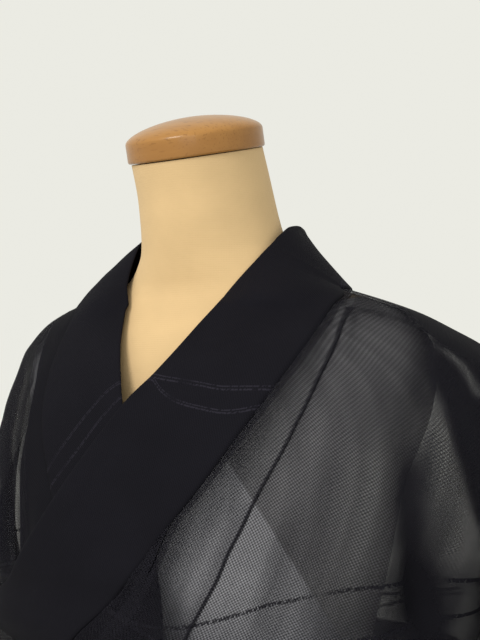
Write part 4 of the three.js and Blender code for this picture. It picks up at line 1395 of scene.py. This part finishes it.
@dataclass
class Collar(GarmentPiece):
    """One folded strip round the neck and down both fronts, the left end outside."""

    thickness: float = 2.3
    columns: int = 34
    bulge: float = 4.0
    under_end: float = 1040.0
    standing: Ramp = (NECK_Z - 26, 22.0)
    fold_share: float = 0.03
    seam_share: float = 0.02

    def across(self) -> Array:
        """Shares of the width at each column, closer together where the strip is folded."""
        even = np.linspace(0, 1 - self.fold_share, self.columns)
        fold = 1 - self.fold_share * (1 - np.linspace(0, 1, 7)[1:]) ** 2
        return np.concatenate([even, fold])

    def rows(self, side: int, angle: Array, edge: tuple[Array, Array, Array], z: Array, ply: Array,
             start: float) -> Array:
        """Rows across the strip, from its seam to its folded edge.

        Each point lies on the cloth, or past the neckline on the straight line to the edge with
        a slight bulge; a share of free standing, 0 to 1, mixes the two.
        """
        edge_angle, edge_z, free = edge
        t = mix(start, 1, self.across())[None, :]
        turned, height = mix(angle, edge_angle, t), mix(z, edge_z, t)
        on_cloth = self.robe.reach(side, turned, np.minimum(height, NECK_Z))
        on_cloth = on_cloth + self.robe.stand_out(side, turned, np.minimum(height, NECK_Z), ply)
        seam = self.robe.reach(side, angle, z) + self.robe.stand_out(side, angle, z, ply)
        folded = np.where(free > 0, free, on_cloth[:, -1:])
        straight = mix(seam, folded, t) + self.bulge * np.sin(math.pi * t)
        standing = ramp(height, self.standing)
        reach = mix(on_cloth, np.maximum(straight, 0), standing * (free > 0))
        return around(side * turned, height, reach)

    def front(self, side: Side) -> Array:
        """The rows of one front, from the lower end to the shoulder."""
        table = LEFT_EDGE if side is Side.LEFT else RIGHT_EDGE
        z, ply = self.line.rows()
        keep = ply >= 1 if side is Side.LEFT else (ply == 2) & (z >= self.under_end)
        z, ply = z[keep][:, None], ply[keep][:, None]
        angle = side.front.look("collar", z)
        edge_z = np.where(z < self.under_end, z, table.look("z", z))
        free = np.where(edge_z > NECK_Z - 12, self.free_reach(table, z), 0)
        return self.rows(side.value, angle, (table.look("angle", z), edge_z, free), z, ply, 0.0)

    @staticmethod
    def free_reach(table: Table, z: Array) -> Array:
        """The folded edge's distance from the axis where it stands free of the cloth."""
        known = table["reach"] > 0
        return np.interp(z, table["seam"][known], table["reach"][known])

    def neck(self, side: Side) -> Array:
        """The rows round one half of the back of the neck, from the shoulder to the middle."""
        angle = np.linspace(86, 180, 60)[1:, None]
        table = NECK_EDGE if side is Side.LEFT else RIGHT_NECK_EDGE
        edge = tuple(table.look(name, angle) for name in ("angle", "z", "reach"))
        height = np.full_like(angle, NECK_Z)
        return self.rows(side.value, angle, edge, height, height * 0 + 2, 0.012)

    def build(self, doubled: Material) -> Piece:
        """Joins the left front, the neck and the right front into one closed strip."""
        left = np.concatenate([self.front(Side.LEFT), self.neck(Side.LEFT)])
        right = np.concatenate([self.front(Side.RIGHT), self.neck(Side.RIGHT)[:-1]])[::-1]
        points = np.concatenate([left, right])
        index = grid_numbers(*points.shape[:2])
        middle = points[:, points.shape[1] // 2]
        length = summed(np.linalg.norm(np.diff(middle, axis=0), axis=1), 0)[:, None]
        wide = summed(np.linalg.norm(np.diff(points, axis=1), axis=-1), 1)
        uv = flat_pairs(wide, length) * METRES
        near_fold = np.clip((1 - self.across()) / self.fold_share, 0, 1)
        thick = self.thickness * np.sqrt(np.clip(1 - (1 - near_fold) ** 2, 0.02, 1))
        near_seam = np.clip(self.across() / self.seam_share, 0, 1)
        thick = thick * np.sqrt(np.clip(1 - (1 - near_seam) ** 2, 0.06, 1))
        place = points.reshape(-1, 3)
        turned = np.degrees(np.arctan2(place[:, 0], -place[:, 1]))
        levels = {"first_water": place[:, 2] - COLLAR_WATER.look("first", turned),
                  "second_water": place[:, 2] - COLLAR_WATER.look("second", turned)}
        sheet = Surface(place, grid_quads(index, True), uv, {"seam": wide.ravel(), **levels})
        made = make_shell("collar_cloth", sheet, np.broadcast_to(thick, points.shape[:2]).ravel())
        return dress(made, doubled, "collar")


@dataclass
class Sleeve(GarmentPiece):
    """A flat bag that hangs from the armhole, its top fold drooping away from the shoulder."""

    side: Side
    droop: float
    shoulder: float
    width: float = 340.0
    depth: float = 490.0
    opening: float = 235.0
    half_gap: float = 21.0
    wave: float = 12.0
    waves: float = 3.0
    columns: int = 84
    free_heights: tuple[float, ...] = (700, 800, 872, 960, 1040, 1085)
    free_reach: tuple[float, ...] = (204, 203, 200, 196, 190, 186)
    cuff_half: float = 20.0
    least_half: float = 1.5
    # Extra cover over the whole sleeve: its folded layers, and painted shade.
    cover: float = 0.2
    thin_patch: float = 0.14

    def inner_edge(self, z: Array) -> Array:
        """The edge next to the body: on the armhole, then hanging free beside the waist fold."""
        side = self.side.value
        free = np.interp(z, self.free_heights, self.free_reach)
        lowest = self.robe.half(side, np.array(ARMHOLE_LOW_Z)) + 2
        return np.where(z > ARMHOLE_LOW_Z, self.robe.half(side, z) + 1.85, np.maximum(free, lowest))

    def half(self, u: Array, drop: Array) -> Array:
        """Half of the space between the two layers: the armhole, a full middle, then the cuff."""
        z = ARMHOLE_TOP_Z - drop
        share = (z - ARMHOLE_LOW_Z) / (ARMHOLE_TOP_Z - ARMHOLE_LOW_Z)
        at_body = np.where(z > ARMHOLE_LOW_Z, np.maximum(3, ARMHOLE_HALF * lens(share) + 1.5),
                           3 + 9 * ease((ARMHOLE_LOW_Z - z) / 120))
        gaping = np.maximum(self.least_half, self.cuff_half * lens(drop / self.opening))
        at_cuff = np.where(drop < self.opening, gaping, self.least_half)
        rounding = np.minimum(1, np.minimum(np.sqrt(np.maximum(drop, 0) / 40),
                                            np.sqrt(np.maximum(self.depth - drop, 0) / 25)))
        half = np.where(u < 0.25, mix(at_body, self.half_gap, ease(u / 0.25)),
                        mix(self.half_gap, at_cuff, ease((u - 0.72) / 0.28)))
        return np.maximum(self.least_half, half * rounding)

    def folds(self, face: Array, u: Array, drop: Array) -> Array:
        """The hanging folds: cosines across the sleeve, deeper lower down, with a finer set."""
        grown = self.wave * ease((drop - 20) / 120) * ease((self.depth - drop) / 60)
        held = ease(u / 0.2) * ease((1 - u) / 0.2)
        bend = u + 0.02 * np.sin(drop / 90 + face)
        large = np.cos(2 * math.pi * self.waves * bend + np.where(face > 0, 0.9, 0.0))
        fine = 0.18 * np.sin(2 * math.pi * 7.3 * bend + drop / 120 + face * 2)
        return grown * held * (large + fine)

    def build(self, gauze: Material) -> Piece:
        """Makes the bag as a tube, its front layer going down and its back layer coming up."""
        top = np.concatenate([np.linspace(0, 1, 9) ** 2 * 14, np.linspace(14, 470, 76)[1:],
                              self.depth - (np.linspace(1, 0, 8) ** 2 * 20)[1:]])
        drop = np.concatenate([top, top[1:-1][::-1]])[:, None]
        face = np.concatenate([-np.ones(len(top)), np.ones(len(top) - 2)])[:, None]
        ends = (drop == 0) | (drop == self.depth)
        u = np.linspace(0, 1, self.columns + 1)[None, :]
        turn = math.radians(self.droop)
        z = ARMHOLE_TOP_Z - self.width * math.sin(turn) * u - drop
        outer = self.shoulder + self.width * math.cos(turn)
        outer = outer - 14 * drop / self.depth
        x = mix(self.inner_edge(ARMHOLE_TOP_Z - drop), outer, u)
        half = self.half(u, drop) + self.folds(face, u, drop)
        step = np.where(ends, 0, face)
        y = step * half
        points = np.stack(np.broadcast_arrays(self.side.value * x, y, z), axis=-1)
        index = grid_numbers(*points.shape[:2])
        quads = grid_quads(np.concatenate([index, index[:1]]), self.side.value > 0)
        length = np.where(face < 0, drop, 2 * self.depth - drop)
        uv = flat_pairs(u * self.width, length) * METRES
        at_end = np.minimum(u * self.width + 3, (1 - u) * self.width + 3)
        edge = np.minimum(at_end, self.depth - drop + 0 * u)
        shape = points.shape[:2]
        level = np.broadcast_to(z - 22 * np.sin(5.2 * u + 0.6 * face), shape)
        patch = self.thin_patch * np.exp(-((u - 0.14) / 0.09) ** 2 - ((drop - 60) / 55) ** 2)
        cover_and_shade = self.cover - patch * (self.side is Side.LEFT) + 0.05 * ripple(u * 4, drop / 300, 23)
        values = {"seam": edge, "cover_and_shade": cover_and_shade, "tuck": NO_LINE, "contrast": 0.6, "first_water": level,
                  "second_water": level + 14 * np.sin(7 * u)}
        flat = {key: np.broadcast_to(value, shape).ravel() for key, value in values.items()}
        sheet = Surface(points.reshape(-1, 3), quads, uv, flat)
        made = make_shell(f"sleeve_cloth_{self.side.word}", sheet, CLOTH)
        return dress(made, gauze, f"sleeve_{self.side.word}")


@dataclass
class WaistTie(GarmentPiece):
    """A flat tie round the waist, outside everything that it holds."""

    low: float = 1006.0
    high: float = 1038.0
    thickness: float = 2.2
    clear: float = 1.6
    collar: float = 2.6
    uv_scale: float = 2.5
    lap_start: Ramp = (84.0, -24.0)
    lap_end: Ramp = (-92.0, 14.0)

    def build(self, woven: Material) -> Piece:
        """A ring of the robe moved out by the plies, the overlap and its own thickness."""
        degrees = np.linspace(-180, 180, 181)[:-1][None, :]
        z = np.linspace(self.low, self.high, 17)[:, None]
        lift = OVER_WAIST * ramp(degrees, self.lap_start) * ramp(degrees, self.lap_end)
        pinch = 0.5 * np.sin(math.pi * (z - self.low) / (self.high - self.low))
        pinch = pinch + 0.4 * ripple(degrees / 9, z / 40, 5)
        out = 2 * PLY + lift + self.collar / 2 + self.clear + self.thickness / 2 + pinch
        side = np.where(degrees >= 0, 1, -1)
        reach = np.where(side > 0, self.robe.reach(1, degrees, z), self.robe.reach(-1, -degrees, z))
        points = around(degrees, z, reach + out)
        quads = grid_quads(grid_numbers(*points.shape[:2], True), False)
        uv = flat_pairs(degrees * self.uv_scale, z) * METRES
        sheet = Surface(points.reshape(-1, 3), quads, uv, {})
        made = make_shell("tie_cloth", sheet, self.thickness)
        return dress(made, woven, "waist_tie")


# ------------------------------------------------------------------ dress form and stand


@dataclass
class DressForm:
    """The padded torso and neck in one cover."""

    steps: int = 128
    row_step: float = 3.0

    def build(self, cover: Material) -> Piece:
        """Rings of the form's table, each tilted and shifted, with closed ends."""
        heights = np.arange(FORM["z"][0], FORM["z"][-1] + 0.1, self.row_step)
        z = np.concatenate([heights, [FORM["z"][-1]] if heights[-1] < FORM["z"][-1] else []])[:, None]
        degrees = np.linspace(0, 360, self.steps, endpoint=False)[None, :]
        half, front, back, power, shift, tilt = (FORM.look(name, z) for name in
                                                 ("half", "front", "back", "power", "shift", "tilt"))
        flat = around(degrees, 0 * z, ring_reach(half, front, back, power, degrees))
        turn = np.radians(tilt)
        rings = np.stack([flat[..., 0], flat[..., 1] * np.cos(turn) + shift,
                          flat[..., 1] * np.sin(turn) + z], axis=-1)
        low = rings[:1] * [0, 0, 1]
        top = rings[-1:].mean(axis=1, keepdims=True) + 0 * rings[-1:]
        rings = np.concatenate([low, rings, top])
        quads = grid_quads(grid_numbers(*rings.shape[:2], True), False)
        uv = flat_pairs(degrees, rings[:, :1, 2]) * METRES
        made = weld(make_mesh("form_cover", rings.reshape(-1, 3), quads, uv, {}))
        return dress(made, cover, "form_body")


@dataclass
class NeckCap:
    """The turned wooden cap on the neck, tilted forwards with it."""

    radius: float = 57.0
    side: float = 15.5
    dome: float = 16.5
    power: float = 1.85
    tilt: float = 14.6
    place: tuple[float, float, float] = (0.0, -33.9, 1450.4)

    def build(self, wood: Material) -> Piece:
        """A profile of a short wall and a superelliptic dome with a full rim, turned and tilted."""
        bend, full = 2.0, 2 / self.power
        dome = [(self.radius * math.cos(a) ** full, self.side + self.dome * math.sin(a) ** full)
                for a in np.radians(np.linspace(0, 90, 40))[1:]]
        profile = [(0, 0), (self.radius - bend, 0), *rounded(self.radius - bend, bend, bend, -80, 0, 4),
                   (self.radius, self.side * 0.5), (self.radius, self.side), *dome]
        made = turned_solid("cap_wood", profile, 160)
        tilted = Matrix.Rotation(math.radians(self.tilt), 4, "X")
        made.data.transform(Matrix.Translation(Vector(self.place) * METRES) @ tilted)
        return dress(made, wood, "neck_cap")


@dataclass
class Stand:
    """The pole, its flange and the round wooden foot."""

    foot_radius: float = 170.0
    foot_thick: float = 22.0
    pole_radius: float = 13.0
    pole_top: float = 779.7
    gap: float = 0.35

    def build(self, wood: Material, steel: Material) -> None:
        """Makes the three turned pieces."""
        edge = 7.0
        foot = [(0, 0), (self.foot_radius - 2, 0), *rounded(self.foot_radius - 2, 2, 2, -80, 0, 4),
                *rounded(self.foot_radius - edge, self.foot_thick - edge, edge, 0, 90),
                (60, self.foot_thick), (0, self.foot_thick)]
        low = self.foot_thick + self.gap
        radius, top, bevel = self.pole_radius, self.pole_top, 0.6
        pole = [(0, low), (radius - bevel, low), (radius, low + bevel),
                *[(radius, z) for z in np.linspace(low + 5, top - 5, 12)],
                (radius, top - bevel), (radius - bevel, top), (0, top)]
        bore = self.pole_radius + self.gap
        flange = [(bore, low), (33, low), (34, low + 1), *rounded(32, low + 6, 2, 0, 80, 5),
                  (22, low + 9), (20, low + 12), (19, low + 16),
                  *rounded(17.5, low + 32.5, 1.5, 0, 90, 4), (bore, low + 34)]
        dress(turned_solid("foot_wood", foot, 160), wood, "stand_foot")
        dress(turned_solid("pole_steel", pole, 64), steel, "pole")
        dress(self.ring("flange_steel", flange), steel, "pole_flange")

    @staticmethod
    def ring(name: str, profile: Profile, steps: int = 64) -> Piece:
        """A closed profile clear of the axis, turned about it."""
        rings = np.array(profile)
        turn = np.linspace(0, 2 * math.pi, steps, endpoint=False)
        points = np.stack([rings[:, :1] * np.cos(turn), rings[:, :1] * np.sin(turn),
                           rings[:, 1:] + 0 * turn], axis=-1).reshape(-1, 3)
        index = grid_numbers(len(rings), steps, True)
        quads = grid_quads(np.concatenate([index, index[:1]]), False)
        return make_mesh(name, points, quads, points[:, :2] * METRES, {})


# ------------------------------------------------------------------ studio


@dataclass
class Studio:
    """A plain pale room: the camera, soft lights, the world and the floor."""

    camera_place: tuple[float, float, float] = (0.574, -0.849, 1.248)
    azimuth: float = 33.1
    rise: float = 3.8
    focal_pixels: float = 1220.0
    picture_height: float = 640.0
    sensor: float = 36.0
    aim: tuple[float, float, float] = (0.0, 0.0, 1.25)
    wall: Colour = (0.83, 0.828, 0.768, 1)

    def camera(self) -> None:
        """A camera that looks from the wearer's front left, level but for a slight rise."""
        data = bpy.data.cameras.new("camera")
        data.sensor_width = self.sensor
        data.lens = self.focal_pixels / self.picture_height * self.sensor
        data.clip_start, data.clip_end = 0.01, 50.0
        made = bpy.data.objects.new("camera", data)
        bpy.context.scene.collection.objects.link(made)
        a, p = math.radians(self.azimuth), math.radians(self.rise)
        ahead = Vector((-math.sin(a) * math.cos(p), math.cos(a) * math.cos(p), math.sin(p)))
        made.location = self.camera_place
        made.rotation_euler = ahead.to_track_quat("-Z", "Y").to_euler()
        bpy.context.scene.camera = made

    def light(self, name: str, place: tuple[float, float, float], size: float, power: float,
              colour: tuple[float, float, float]) -> None:
        """A square soft light that looks at the chest."""
        data = bpy.data.lights.new(name, "AREA")
        data.size, data.energy, data.color = size, power, colour
        made = bpy.data.objects.new(name, data)
        made.location = place
        ahead = Vector(self.aim) - Vector(place)
        made.rotation_euler = ahead.to_track_quat("-Z", "Y").to_euler()
        bpy.context.scene.collection.objects.link(made)

    def build(self) -> None:
        """Makes the world, the lights and the floor."""
        scene = bpy.context.scene
        scene.view_settings.view_transform = "Standard"
        world = bpy.data.worlds.new("room")
        world.use_nodes = True
        background = world.node_tree.nodes["Background"]
        background.inputs["Color"].default_value = self.wall
        background.inputs["Strength"].default_value = 1.0
        scene.world = world
        self.light("key", (-0.14, -2.07, 2.5), 0.8, 33.0, (1.0, 0.975, 0.94))
        self.light("fill", (0.9, -2.2, 1.6), 1.2, 8.0, (0.97, 0.98, 1.0))
        self.floor()

    @staticmethod
    def floor() -> None:
        """A round pale floor under the foot."""
        rings = [(0.0, -0.4), (2200.0, -0.4), (2200.0, -0.2), (0.0, -0.2)]
        made = turned_solid("floor", rings, 96)
        n = Nodes("pale_floor")
        soft = n.noise(n.object_place, 3.0, 2.0)
        pale = n.blend(soft, (0.74, 0.73, 0.69, 1), (0.78, 0.77, 0.73, 1))
        n.put(n.shader, {"Base Color": pale, "Roughness": 0.8})
        made.data.materials.append(n.material)


# ------------------------------------------------------------------ the whole


def measure_area(made: Piece) -> float:
    """Half of a closed shell's area, which is the cloth's own area, in square metres."""
    return sum(face.area for face in made.data.polygons) / 2


# Each sleeve's side, droop in degrees, half width at the top, and fold depth in millimetres.
SLEEVES = ((Side.LEFT, 64.0, 267.0, 12.0), (Side.RIGHT, 66.0, 213.0, 19.0))


def main() -> None:
    """Builds the camera, the stand, the garment and the room, and logs the area of each cloth piece."""
    logging.basicConfig(level=logging.INFO, format="%(name)s %(message)s")
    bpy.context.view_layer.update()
    studio = Studio()
    studio.camera()
    # The cap's side wall takes painted shade.
    beech = WoodFinish("cap_beech", wall=(0.0655, 0.079)).build()
    foot_beech = WoodFinish("foot_beech", roughness=0.4).build()
    DressForm().build(CoverFinish().build())
    NeckCap().build(beech)
    Stand().build(foot_beech, MetalFinish().build())
    gauze, doubled = GauzeFinish().build(), CollarFinish().build()
    robe, line = Robe(), ClothLine()
    cloth: dict[str, Piece] = {}
    for side, droop, shoulder, wave in SLEEVES:
        cloth[f"panel_{side.word}"] = BodyPanel(robe, line, side).build(gauze)
        cloth[f"gore_{side.word}"] = FrontGore(robe, line, side).build(gauze)
        cloth[f"sleeve_{side.word}"] = Sleeve(robe, line, side, droop, shoulder, wave=wave).build(gauze)
    cloth["collar"] = Collar(robe, line).build(doubled)
    cloth["tie"] = WaistTie(robe, line).build(TieFinish().build())
    for key, made in cloth.items():
        LOG.info("%s area %.3f", key, measure_area(made))
    studio.build()


if __name__ == "__main__":
    main()
